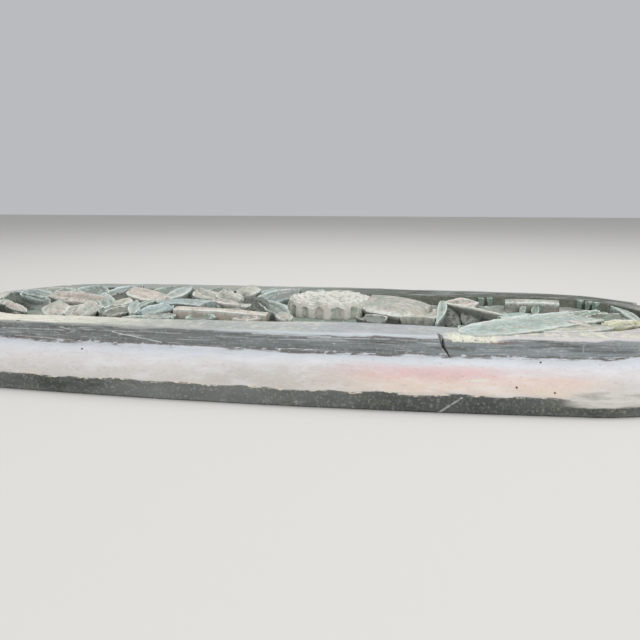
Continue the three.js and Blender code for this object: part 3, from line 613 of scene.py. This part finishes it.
# Upper leaves: base x, y, z, tip x, y, z, width, sideways bend, lift of the middle, crown, tilt,
# kind, tone of its rubbed gilding
UPPER_LEAVES = [
    (-176, -50, 36, -221, -12, 37.6, 11, -5, 0.5, 2.2, 0.1, "folded", "peach"),
    (-167, -49, 37.5, -223, 10, 40.5, 32, -2, 0, -7.5, 0, "cupped", "moss"),
    (-184, -6, 38, -221, 28, 40.2, 22, 4, 0.5, -1.5, 0, "cupped", "blue"),
    (-174, 24, 36, -212, 40, 39.5, 24, 3, 1, -2, 0, "cupped", "grey"),
    (-136, -12, 38.5, -188, 0, 39.6, 21, -5, 0.6, 3.6, -0.12, "folded", "peach"),
    (-147, -60, 37, -161, -30, 39, 17, 2, 1, 3, 0, "dome", "cream"),
    (-133, -58, 37, -137, -25, 39.5, 24, 5, 1, 2.6, 0, "folded", "cream"),
    (-124, -30, 37.5, -152, 16, 40.5, 12, 3, 0.5, 2.4, 0, "folded", "light"),
    (-144, 9, 31, -142, 31, 40.3, 27, -3, 0, -6, 0, "cupped", "brown"),
    (-168, 12, 35, -178, 57, 40.2, 32, 4, 0.5, -2.5, 0, "cupped", "blue"),
    (-152, 30, 37, -141, 59, 40.4, 26, 4, 0.5, -2, 0, "cupped", "blue"),
    (-122, -46, 36.5, -112, -22, 37.5, 17, 3, 0.5, 1.5, 0.2, "folded", "olive"),
    (-126, -21, 37, -122, -4, 38.6, 13, 2, 0.5, 2, 0, "dome", "cream"),
    (-96, -3, 38.5, -134, 28, 40.5, 25, 4, 0.6, 3.2, 0, "dome", "peach"),
    (-118, 30, 36, -110, 60, 40.4, 27, 3, 0.5, -2, 0, "cupped", "green"),
    (-100, -49, 38, -116, -8, 39.5, 8, 0, 0.5, 1, 0, "plain", "light"),
    (-96, -46, 37.5, -88, -15, 38.8, 20, -3, 0.8, 2.2, 0, "folded", "blue"),
    (-99, 4, 39, -98, 54, 41, 9, -3, 1, 1, 0.3, "plain", "light"),
    (-99, -10, 39.5, -62, -14, 39.5, 20, 3, 0.5, 0.8, 0, "blunt", "blue"),
    (-104, -4, 39.5, -103, -40, 39, 6, 0, 1, 0.5, 0, "plain", "light"),
    (-108, 8, 33, -86, 54, 38, 28, 6, -0.6, -4, 0, "cupped", "olive"),
    (-65, 26, 36, -90, 44, 40, 22, 4, 0.5, 3, 0, "folded", "cream"),
    (-44, 12, 36, -70, 42, 40, 20, 4, 0.5, 3, 0, "folded", "cream"),
    (-65, 9, 38, -42, -6, 37.5, 12, 0, 0.5, 1.5, 0, "plain", "peach"),
    (-68, 30, 35, -76, 60, 40, 24, 3, 0.5, -2, 0, "cupped", "green"),
    (-50, 34, 38, -50, 59, 39.6, 18, 0, 1.2, 3, 0, "dome", "cream"),
    (-14, -38, 37.5, -78, -30, 38.5, 10, 0, 0.5, 1.2, 0, "bar", "peach"),
    (-62, -30, 35, -36, -18, 36.5, 18, 3, 0.5, 1.5, 0, "lobed", "grey"),
    (-72, -50, 36, -104, -56, 36.6, 14, 2, 0.5, 1, 0, "folded", "green"),
    (-186, 26, 36, -198, 44, 39, 18, 3, 0.5, -1.5, 0, "cupped", "olive"),
    (-84, -36, 36, -86, -61, 37.4, 22, 2, 0.5, 0.8, 0, "lobed", "grey"),
    (-60, -40, 36.5, -52, -61, 37.4, 20, 3, 0.5, -1.2, 0, "lobed", "green"),
    (-30, -42, 36.5, -24, -58, 37.2, 18, 3, 0.5, 1.0, 0, "lobed", "peach"),
    (-20, -25, 38, -46, 16, 39.5, 18, 3, 0, -2, -0.42, "dark", "brown"),
    (-29, 4, 39.5, 1, -52, 38, 14, 4, 0.8, -1.2, 0.1, "cupped", "light"),
    (-6, -42, 38, 2, -57, 38, 10, 1, 1.2, 2.2, 0, "dome", "cream"),
    (-33, 18, 36, -12, 60, 40.4, 23, 5, 0.5, -2.2, 0.1, "cupped", "blue"),
    (-42, 32, 34, -33, 60, 40, 20, -3, 0.5, -1.8, 0, "cupped", "light"),
    (0, 14, 33, 6, 60, 40.2, 25, 5, 0.5, -2.4, 0.1, "cupped", "blue"),
    (14, 34, 36, 28, 60, 39.6, 25, 3, 1.5, -1.8, 0, "cupped", "cream"),
    (48, 3, 38.5, 87, -18, 36, 46, -4, 1.5, 7, 0, "dome", "dusty"),
    (44, -30, 37.5, 57, -55, 37.8, 19, 3, 1, -1.6, 0, "cupped", "olive"),
    (87, -3, 38, 79, -36, 38.2, 23, 0, 0.4, 0.3, 0.03, "blunt", "cream"),
    (70, -34, 31, 82, -56, 32, 24, 2, 1, 0.6, 0, "lobed", "olive"),
    (95, 22, 39.8, 90, -53, 38.1, 6, 3, 1, 0.6, 0, "plain", "light"),
    (94, 15, 39.8, 138, -24, 37.5, 11, -3, 0.8, -1, -0.1, "ridge", "cream"),
    (98, 8, 37.5, 103, -24, 27, 13, 0, 0, 2.5, 0, "shaded", "brown"),
    (110, -2, 37, 116, -26, 27, 12, 0, 0, 2.5, 0, "shaded", "brown"),
    (96, 18, 36, 120, 25, 38.5, 19, 2, 0.5, -1.5, 0.3, "folded", "peach"),
    (178, -21, 39.6, 103, -79, 38.2, 37, -2, 0.2, -0.5, 0.012, "tongue", "light"),
    (188, -44, 37.8, 128, -62, 38, 22, 3, 0.2, 0.8, 0, "plain", "cream"),
    (129, -22, 37, 149, -14, 38.4, 12, 2, 0.5, 1.2, 0, "plain", "light"),
    (138, 30, 38.2, 173, 28, 38.4, 14, 0, 0.3, 2.4, -0.12, "bar", "grey"),
    (180, -32, 37, 210, -6, 38.3, 22, 0, 0.5, -1.2, 0.1, "plain", "brown"),
    (150, 23, 37.6, 146, 7, 33, 4, 0, 0.5, 0.3, 0, "plain", "green"),
    (158, 23, 37.6, 154, 5, 33, 5, 0, 0.5, 0.3, 0, "plain", "green"),
    (208, -32, 38.2, 205, 18, 39.5, 6, -2, 0.8, 1, 0, "plain", "light"),
    (187, -43, 37.6, 209, -31, 38.3, 19, 3, 0.6, 1.5, 0, "folded", "yellow"),
    (168, -38, 39.5, 176, -51, 38.6, 8, -2, 0.8, 1, 0, "plain", "peach"),
    (176, -11, 35, 196, 12, 37.5, 18, 2, 0.5, 1, 0, "folded", "green"),
    (200, 34, 33, 182, 4, 33, 22, 4, 1, 1.6, 0, "folded", "grey"),
    (44, 22, 33, 58, 57, 35, 28, -5, 2, -2.2, 0, "cupped", "green"),
    (84, 34, 29, 100, 55, 30, 24, 3, 1, -1.6, 0, "cupped", "grey"),
    (160, 30, 30, 188, 46, 31, 22, 3, 1, -0.8, 0, "lobed", "green"),
    (58, 8, 31, 84, 36, 31, 22, 3, 1, -0.8, 0, "lobed", "grey"),
    (150, 18, 29, 168, -8, 30, 24, 3, 1, -0.8, 0, "lobed", "green"),
]
# How each kind is cut: its outline, the groove of its midrib, its side veins, its forward sweep. Flank paints its
# sides lighter or darker and shade paints its top darker: painted light and shade.
LEAF_KINDS = {
    "lobed": {"shape": "lobed", "groove": 0.6, "veins": 0.3, "sweep": 0.45, "furrow": 0.7},
    "cupped": {"shape": "wavy", "groove": 0.45, "veins": 0.15, "sweep": 0.3, "furrow": 0.8},
    "folded": {"shape": "wavy", "veins": 0.2, "sweep": 0.4, "fold": 1.0, "furrow": 0.5},
    "plain": {"shape": "pointed", "groove": 0.45, "furrow": 0.3},
    "ridge": {"shape": "pointed", "flank": -0.3},
    "shaded": {"shape": "pointed", "flank": -0.4, "shade": 0.6},
    "dark": {"shape": "wavy", "groove": 0.45, "veins": 0.15, "sweep": 0.3, "furrow": 0.8, "shade": 0.46},
    "dome": {"shape": "round", "furrow": 0.15},
    "tongue": {"shape": "tongue", "furrow": 0.15},
    "blunt": {"shape": "blunt", "veins": 0.2, "furrow": 0.3, "flank": -0.34},
    "bar": {"shape": "bar", "flank": 0.25},
}


def pointed_shape(t):
    return np.sin(np.pi * (0.07 + 0.93 * t) ** 0.85) ** 0.85


def lobed_shape(t):
    """A leaf's outline with rounded lobes on each side, the last one its tip."""
    phase = (t * LOBES) % 1
    lobe = 0.70 + 0.30 * np.sin(np.pi * phase ** 0.75) ** 0.8
    return np.sin(np.pi * (0.10 + 0.90 * t) ** 0.8) ** 0.62 * lobe


def wavy_shape(t):
    """A leaf's outline with shallow lobes."""
    return pointed_shape(t) * (0.9 + 0.1 * np.sin(np.pi * ((t * LOBES) % 1) ** 0.75))


def round_shape(t):
    return (0.06 + 3.76 * t * (1 - t)) ** 0.5


def tongue_shape(t):
    return np.minimum(1, 0.86 + 0.3 * t) * np.maximum(0, 1 - t ** 5) ** 0.6


def blunt_shape(t):
    return np.minimum(1, 0.45 + 1.6 * t)


def bar_shape(t):
    return 0.8 + 0.2 * t


OUTLINES = {"pointed": pointed_shape, "lobed": lobed_shape, "wavy": wavy_shape,
            "round": round_shape, "tongue": tongue_shape,
            "blunt": blunt_shape, "bar": bar_shape}


def bezier(start, middle, end, t):
    t = t[:, None]
    return (1 - t) ** 2 * start + 2 * t * (1 - t) * middle + t ** 2 * end


def strip(carver, spine, half, crown=0.0, tilt=0.0, tone="grey", across=LEAF_ACROSS, lip=1.6,
          inset=0.84, groove=0.0, veins=0.0, sweep=0.0, fold=0.0, furrow=0.0, flank=0.0, shade=0.0,
          chatter=1.0):
    """Carves one closed form: its top follows the spine, its sides fall undercut to the ground."""
    along = np.gradient(spine, axis=0)
    along[:, 2] = 0
    along /= np.linalg.norm(along, axis=1, keepdims=True)
    side = np.stack([-along[:, 1], along[:, 0], np.zeros(len(spine))], axis=1)
    t = np.linspace(0, 1, len(spine))
    half = np.maximum(BLUNT_TIP, half * (1 + 0.06 * chatter * rough(spine, 4)))
    run = np.concatenate([[0], np.cumsum(np.linalg.norm(np.diff(spine, axis=0), axis=1))])
    s = np.sin(np.linspace(-np.pi / 2, np.pi / 2, across + 1))

    def level(reach):
        """Points at a share of the half width, swept forward towards the tip at their outer ends."""
        reach = np.atleast_1d(reach)
        offset = half[:, None] * reach
        forward = sweep * np.abs(offset) * np.sin(np.pi * np.clip(t * 1.15, 0, 1))[:, None]
        return spine[:, None] + side[:, None] * offset[..., None] + along[:, None] * forward[..., None]

    top = level(s)
    hump = (1 - fold) * (1 - s ** 2) + fold * ((1 - np.abs(s)) ** 1.3 - 0.45 * np.sin(np.pi * np.abs(s)))
    rise = crown * hump * np.minimum(1, half / 4)[:, None] + tilt * half[:, None] * s
    dig = groove * np.exp(-(s * half[:, None] / 0.9) ** 2) * (1 - t[:, None] ** 4)
    phase = (run[:, None] - 0.9 * np.abs(s) * half[:, None]) / 5.5
    cut = np.maximum(0, np.cos(2 * np.pi * phase)) ** 6 * np.minimum(1, np.abs(s) * 4)
    dig = dig + veins * cut
    lanes = 2 if half.max() > 10 else 1
    hollow = 0.5 - 0.5 * np.cos(2 * np.pi * lanes * np.abs(s))
    dig = dig + furrow * hollow * np.minimum(1, half / 6)[:, None]
    facets = chatter * (0.12 * rough(top, 7, 1) + 0.09 * rough(top, 2.6, 2))
    top[..., 2] += rise - dig + facets
    proud = 0.30 * np.abs(s) ** 4 + fold * 0.25 * np.exp(-(s * half[:, None] / 1.5) ** 2)
    sunk = 0.075 * np.maximum(0, -crown * hump) * np.minimum(1, half / 4)[:, None]
    # The top's value of rubbing and shade: higher on edges, ridges and bumps, as rubbing and as a painted highlight;
    # lower in grooves and veins, as dirt and painted shade; lower in the middle of a cupped leaf and by a leaf's
    # shade, as painted shade.
    worn_and_shaded = np.clip(0.76 - shade + 0.6 * facets - 0.4 * dig + proud - sunk, 0.12, 1)
    levels, wears, widths = [top], [worn_and_shaded], [half[:, None] * s]
    # Down each side: drop below the edge, share of the half width, and a value of rubbing and shade that falls
    # towards the foot, painting the sides darker downwards: painted shade. Flank lightens or darkens the sides:
    # painted light and shade.
    for drop, reach, wear in ((0.35, 1.01, 1.0), (lip, 0.99, 0.64), (lip * 2, 0.4 + 0.6 * inset, 0.52),
                              (lip * 4, inset, 0.42), (None, inset - 0.04, 0.12)):
        for sign in (-1, 1):
            row = level(sign * reach)
            edge = top[:, :1] if sign < 0 else top[:, -1:]
            if drop is None:
                row[..., 2] = GROUND - FOOT_SINK
            else:
                row[..., 2] = np.maximum(GROUND - FOOT_SINK, edge[..., 2] - drop)
            row += 0.25 * chatter * rough(row, 3, 4)[..., None] * side[:, None] * (drop is not None)
            levels.insert(0 if sign < 0 else len(levels), row)
            wears.insert(0 if sign < 0 else len(wears), np.full(row.shape[:2], np.clip(wear + flank, 0.08, 1)))
            over = half[:, None] + (lip * 5 if drop is None else drop)
            widths.insert(0 if sign < 0 else len(widths), sign * over)
    rows = np.concatenate(levels, axis=1)
    wear = np.concatenate(wears, axis=1)
    girth = np.concatenate(widths, axis=1)
    length = np.repeat(run[:, None], girth.shape[1], axis=1)
    feet = rows[[0, -1]].copy()
    feet[..., 2] = GROUND - FOOT_SINK
    rows = np.concatenate([feet[:1], rows, feet[1:]])
    wear, girth, length = (np.concatenate([values[:1] * 0, values, values[:1] * 0])
                           for values in (wear, girth, length))
    rows[..., 2] = np.minimum(rows[..., 2], FOLIAGE_TOP)
    carver.skin(rows, tint=TONE_NAMES.index(tone) / (len(TONES) - 1), wear=wear, girth=girth, length=length)


def leaf(carver, row, stations=LEAF_STATIONS, **form):
    start, end = np.array(row[:3], float), np.array(row[3:6], float)
    width, bend, lift, crown, tilt, kind, tone = row[6:]
    cut = dict(LEAF_KINDS[kind])
    side = np.array([start[1] - end[1], end[0] - start[0], 0.0])
    side /= np.linalg.norm(side)
    middle = (start + end) / 2 + side * bend + np.array([0, 0, 2 * lift])
    t = np.linspace(0, 1, stations)
    half = 0.5 * width * OUTLINES[cut.pop("shape")](t)
    strip(carver, bezier(start, middle, end, t), half, crown=crown, tilt=tilt, tone=tone, **cut, **form)


def low_leaf_rows():
    """The lower leaves: in from both long sides of the field, and out from under the bloom."""
    rows = []
    low, ring = LOW_LEAVES, BLOOM_LEAVES
    for side in (-1, 1):
        for i in range(low["count"]):
            x = low["pitch"] * (i - (low["count"] - 1) / 2)
            turn = 1 if i % 2 else -1
            y = side * (field_edge(x, side) - 1)
            rows.append((x, y, low["height"], x + 13 * turn, y - side * low["reach"],
                         low["height"] + 0.5, low["width"], 4 * turn, 1.5, 1.2, 0, "lobed",
                         LOW_TONES[i % 3]))
    for i, x in enumerate(MIDDLE_LEAVES["starts"]):
        turn = 1 if i % 2 else -1
        height = MIDDLE_LEAVES["height"]
        rows.append((x, 7 * turn, height, x + MIDDLE_LEAVES["reach"], -15 * turn, height + 1,
                     MIDDLE_LEAVES["width"], 5 * turn, 1.5, 1.2, 0, "lobed", LOW_TONES[i % 3]))
    for i in range(ring["count"]):
        angle = 2 * math.pi * (i + 0.25) / ring["count"]
        base = [BLOOM_PLACE[k] + ring["inner"] * trig(angle) for k, trig in enumerate((math.cos, math.sin))]
        tip = [BLOOM_PLACE[k] + ring["outer"] * trig(angle + 0.12)
               for k, trig in enumerate((math.cos, math.sin))]
        rows.append((*base, ring["height"], *tip, ring["height"] - 1.5, ring["width"], 4, 1.5, 1.2, 0,
                     "lobed", LOW_TONES[i % 3]))
    return rows


FOLIAGE_TOP = 45.9

# What the eye sees on the carving: gilding rubbed down to its grey-green and pinkish ground on all
# that stands proud, crumbs of gold, a painted highlight on the rubbed edges, cut sides painted a darker
# olive as painted shade, and painted shade darkening every hollow.
GOUGE_MARK = 1.1
SHADED_SIDE_OLIVE, SHADED_HOLLOW_GREEN, SHADED_HOLLOW_DARK = "858A82", "6F7D75", "44463F"
GOLD_CRUMBS, PINK_GROUND, RUBBED_EDGE_HIGHLIGHT = "D3D2A4", "C9B4AA", "DCE1DC"
gilding = bpy.data.materials.new("rubbed_gilding_with_painted_shade_on_carved_wood")
gilding.use_nodes = True
tree = gilding.node_tree
place = add_node(tree, "ShaderNodeTexCoord").outputs["Object"]
tint = add_node(tree, "ShaderNodeAttribute", {"attribute_name": "tint"}).outputs["Fac"]
wear = add_node(tree, "ShaderNodeAttribute", {"attribute_name": "wear"}).outputs["Fac"]
shades = add_node(tree, "ShaderNodeValToRGB", {}, {"Fac": tint})
while len(shades.color_ramp.elements) < len(TONES):
    shades.color_ramp.elements.new(0.5)
for i, code in enumerate(TONES.values()):
    shades.color_ramp.elements[i].position = i / (len(TONES) - 1)
    shades.color_ramp.elements[i].color = srgb(code)
top = layer(tree, maths(tree, "MULTIPLY", spots(tree, place, 5, 0.45, 0.7), 0.4), srgb("8D958C"),
            shades.outputs["Color"])
top = layer(tree, maths(tree, "MULTIPLY", spots(tree, place, 9, 0.48, 0.66), 0.5), srgb(PINK_GROUND), top)
top = layer(tree, maths(tree, "MULTIPLY", spots(tree, place, 7, 0.5, 0.68, stretch=(1, 2, 1)), 0.45),
            srgb("84A091"), top)
top = layer(tree, maths(tree, "MULTIPLY", spots(tree, place, 6, 0.52, 0.7, stretch=(2, 1, 1)), 0.4),
            srgb("E0E0D2"), top)
girth = add_node(tree, "ShaderNodeAttribute", {"attribute_name": "girth"}).outputs["Fac"]
length = add_node(tree, "ShaderNodeAttribute", {"attribute_name": "length"}).outputs["Fac"]
along_leaf = add_node(tree, "ShaderNodeCombineXYZ", {}, {
    "X": maths(tree, "DIVIDE", length, 14), "Y": maths(tree, "DIVIDE", girth, GOUGE_MARK),
    "Z": maths(tree, "MULTIPLY", tint, 60)})
gouge = add_node(tree, "ShaderNodeTexNoise", {}, {
    "Vector": along_leaf.outputs[0], "Scale": 1.0, "Detail": 2.0, "Roughness": 0.6}).outputs["Fac"]
# The gouge marks, which the bump also raises, are painted light on their ridges and dark in their troughs: painted
# highlight and painted shade.
top = layer(tree, maths(tree, "MULTIPLY", span(tree, gouge, 0.48, 0.75), 0.4), srgb("DDE0DA"), top)
top = layer(tree, maths(tree, "SUBTRACT", 0.35, span(tree, gouge, 0.25, 0.5)), srgb("6F7A72"), top)
crumbs = maths(tree, "MULTIPLY", spots(tree, place, 2.5, 0.55, 0.68), spots(tree, place, 22, 0.45, 0.65))
top = layer(tree, maths(tree, "MULTIPLY", crumbs, 0.7), srgb(GOLD_CRUMBS), top)
top = layer(tree, maths(tree, "MULTIPLY", spots(tree, place, 2.6, 0.5, 0.7), 0.2), srgb("D6BFB8"), top)
top = layer(tree, maths(tree, "MULTIPLY", spots(tree, place, 1.5, 0.6, 0.76), 0.5), srgb("DFE2DC"), top)
uneven = maths(tree, "ADD", wear, maths(tree, "MULTIPLY", maths(
    tree, "SUBTRACT", spots(tree, place, 2.2, 0.3, 0.7), 0.5), 0.22))
# Feet and lower sides painted dark and olive, and hollows a darker green, as painted shade; tops in their tones;
# edges lightened as rubbing and as a painted highlight.
colour = layer(tree, span(tree, uneven, 0.0, 0.3), srgb(SHADED_SIDE_OLIVE), srgb(SHADED_HOLLOW_DARK))
hollow = layer(tree, 0.38, srgb(SHADED_HOLLOW_GREEN), top)
colour = layer(tree, span(tree, uneven, 0.5, 0.62), hollow, colour)
colour = layer(tree, span(tree, uneven, 0.64, 0.82), top, colour)
colour = layer(tree, maths(tree, "MULTIPLY", span(tree, uneven, 0.86, 1.0), 0.75), srgb(RUBBED_EDGE_HIGHLIGHT), colour)
# Ambient occlusion darkens the colour in recesses, under the leaves and between them: painted shade.
shade = add_node(tree, "ShaderNodeAmbientOcclusion", {"samples": 6}, {"Distance": 7 * MM}).outputs["AO"]
colour = layer(tree, span(tree, shade, -0.3, 0.5), colour, srgb(SHADED_HOLLOW_DARK))
lumps = add_node(tree, "ShaderNodeTexNoise", {}, {
    "Vector": place, "Scale": 1 / (1.4 * MM), "Detail": 4.0, "Roughness": 0.65})
bump = add_node(tree, "ShaderNodeBump", {}, {
    "Height": lumps.outputs["Fac"], "Strength": 0.3, "Distance": 0.4 * MM})
bump = add_node(tree, "ShaderNodeBump", {}, {
    "Height": gouge, "Normal": bump.outputs[0], "Strength": 0.55, "Distance": 0.7 * MM})
body = tree.nodes["Principled BSDF"]
body.inputs["Roughness"].default_value = 0.75
body.inputs["Specular IOR Level"].default_value = 0.2
tree.links.new(colour, body.inputs["Base Color"])
tree.links.new(bump.outputs[0], body.inputs["Normal"])

carver = Carver()
for row in low_leaf_rows():
    leaf(carver, row, stations=26, across=10)
low_foliage = carver.mesh("low_foliage", gilding)
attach(low_foliage, "root")

carver = Carver()
for row in UPPER_LEAVES:
    leaf(carver, row)
upper_foliage = carver.mesh("upper_foliage", gilding)
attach(upper_foliage, "root")


# The bloom: a full-blown flower head of many short petals in rings, the highest part of the panel,
# worn so that the petals run into each other. Its outer petals fall like a fluted skirt.
BLOOM_RADIUS = 30.5
BLOOM_SHOULDER = 0.93
BLOOM_FLUTES = 17
FLUTE_DEPTH = 1.5
BLOOM_RINGS = [(0.0, 5), (0.2, 7), (0.38, 10), (0.56, 13), (0.72, 15), (0.86, 17)]
PETAL_RISE = 1.0
BLOOM_DOME = (44.0, 41.8)
SKIRT_FOOT = 28


def bloom_rows():
    """Rows of points from the bloom's middle out over its petals and down its fluted skirt."""
    angle = np.linspace(0, 2 * np.pi, 361)
    drift = 0.35 * np.sin(3 * angle + 1) + 0.2 * np.sin(7 * angle)
    niche = np.abs(np.sin(BLOOM_FLUTES * angle / 2 + drift))
    flute = 1 - ease(0.35, 0.85, niche * (0.9 + 0.12 * np.sin(5 * angle + 2)))
    rows, wears = [], []
    for share in np.linspace(0.0, 1, 64):
        radius = BLOOM_RADIUS * BLOOM_SHOULDER * share * np.ones(len(angle))
        petal = np.zeros(len(angle))
        lift = np.zeros(len(angle))
        edge = np.zeros(len(angle))
        for k, (start, count) in enumerate(BLOOM_RINGS):
            scallop = np.abs(np.sin(count * angle / 2 + 1.3 * k)) ** 0.7
            low = start + 0.09 * scallop * (start > 0)
            high = BLOOM_RINGS[k + 1][0] if k + 1 < len(BLOOM_RINGS) else 1.15
            inside = ease(low - 0.012, low + 0.012, share)
            rise = np.clip((share - low) / (high + 0.06 - low), 0, 1)
            lift = lift * (1 - inside) + inside * (PETAL_RISE * (rise ** 1.5 - 0.5) + 0.35 * scallop)
            edge = edge * (1 - inside) + inside * rise
        dome = BLOOM_DOME[1] + (BLOOM_DOME[0] - BLOOM_DOME[1]) * (1 - share ** 2.2)
        row = np.stack([BLOOM_PLACE[0] + radius * np.cos(angle), BLOOM_PLACE[1] + radius * np.sin(angle),
                        dome + lift], axis=1)
        rows.append(row)
        # Each petal is lighter towards its raised outer edge, as rubbing and as a painted highlight.
        wears.append(0.66 + 0.3 * edge)
    shoulder = rows[-1][:, 2]
    for drop in np.linspace(0, 1, 26)[1:]:
        reach = BLOOM_SHOULDER + (1 - BLOOM_SHOULDER) * math.sin(math.pi / 2 * min(1, drop * 1.8))
        arch = ease(0.34 - 0.22 * niche, 0.44 - 0.22 * niche, drop)
        fold = FLUTE_DEPTH * arch * (flute - 1) - 1.5 * ease(0.6, 1, drop)
        radius = BLOOM_RADIUS * reach + fold
        row = np.stack([BLOOM_PLACE[0] + radius * np.cos(angle), BLOOM_PLACE[1] + radius * np.sin(angle),
                        shoulder + (SKIRT_FOOT - shoulder) * drop], axis=1)
        rows.append(row)
        # The skirt's niches and its foot are painted darker: painted shade.
        wears.append(np.clip(0.86 - 0.22 * (1 - flute) * arch - 0.3 * ease(0.85, 1, drop), 0.1, 1))
    rows = np.array(rows)
    rows[:, :, 2] += 0.8 * rough(rows, 5, 3) + 0.5 * rough(rows, 2.2, 5)
    rows[:, -1] = rows[:, 0]
    rows[..., 2] = np.minimum(rows[..., 2], FOLIAGE_TOP)
    foot = rows[-1].copy()
    foot[:, 2] = GROUND - FOOT_SINK
    rows = np.concatenate([rows, foot[None]])
    return rows, np.stack(wears + [np.zeros(len(angle))])


carver = Carver()
rows, wears = bloom_rows()
out = np.cumsum(np.linalg.norm(np.diff(rows, axis=0, prepend=rows[:1]), axis=2), axis=0)
turned = np.broadcast_to(np.linspace(0, 2 * np.pi, rows.shape[1]) * BLOOM_RADIUS, out.shape)
carver.skin(rows[::-1], tint=TONE_NAMES.index("petal") / (len(TONES) - 1), wear=wears[::-1],
            length=out[::-1], girth=turned)
bloom = carver.mesh("bloom", gilding, merge=0.01)
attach(bloom, "root")


# The stems: one to each end of the field, winding among the leaves, and the ribs and pegs of wood
# that the carver left standing against the far inner wall.
STEM_WIDTH = 8
LEFT_STEM = [(-5, 2, 34), (-36, 0, 36), (-70, 0, 36), (-100, -10, 36), (-128, -4, 36), (-152, 2, 38),
             (-194, 6, 38), (-208, 24, 35)]
RIGHT_STEM = [(39, 16, 32), (70, 38, 31), (100, 40, 28), (137, 34, 28), (160, 31, 34), (176, 29, 33),
              (198, 22, 33), (206, -6, 36), (202, -30, 36)]
RIBS = {"places": (124, 130.5), "width": 3.6, "reach": 5, "top": RIM_TOP - 1.2}
PEGS = {"angles": (47, 52, 58), "width": 2.6, "reach": 5, "top": RIM_TOP - 0.4}


def smooth_path(points, steps=14):
    """A smooth line through points."""
    p = np.array(points, float)
    p = np.concatenate([p[:1], p, p[-1:]])
    t = np.linspace(0, 1, steps, endpoint=False)[:, None]
    parts = [0.5 * (2 * b + (c - a) * t + (2 * a - 5 * b + 4 * c - d) * t ** 2
                    + (3 * b - a - 3 * c + d) * t ** 3) for a, b, c, d in zip(p, p[1:], p[2:], p[3:])]
    return np.concatenate(parts + [p[-1:]])


def stub(carver, place, outward, width, reach, top):
    start, end = place - outward * reach, place + outward * 2
    spine = np.stack([(*start, top), (*end, top)])[:, None] * np.ones((1, 1, 1))
    spine = spine[0] + (spine[1] - spine[0]) * np.linspace(0, 1, 6)[:, None]
    strip(carver, spine, np.full(6, width / 2), tone="green", across=4, lip=6, inset=1.0)


carver = Carver()
for points in (LEFT_STEM, RIGHT_STEM):
    spine = smooth_path(points)
    half = 0.5 * STEM_WIDTH * (1 - 0.35 * np.linspace(0, 1, len(spine)))
    strip(carver, spine, half, crown=1.6, tone="grey", across=8, lip=2.0)
for x in RIBS["places"]:
    stub(carver, np.array([x, field_edge(x, 1)]), np.array([0.0, 1.0]),
         RIBS["width"], RIBS["reach"], RIBS["top"])
for angle in np.radians(PEGS["angles"]):
    outward = np.array([math.cos(angle), math.sin(angle)])
    stub(carver, outward * FIELD_EDGE + (END_CENTRE, 0), outward, PEGS["width"], PEGS["reach"], PEGS["top"])
stems = carver.mesh("stems_and_ribs", gilding)
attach(stems, "root")
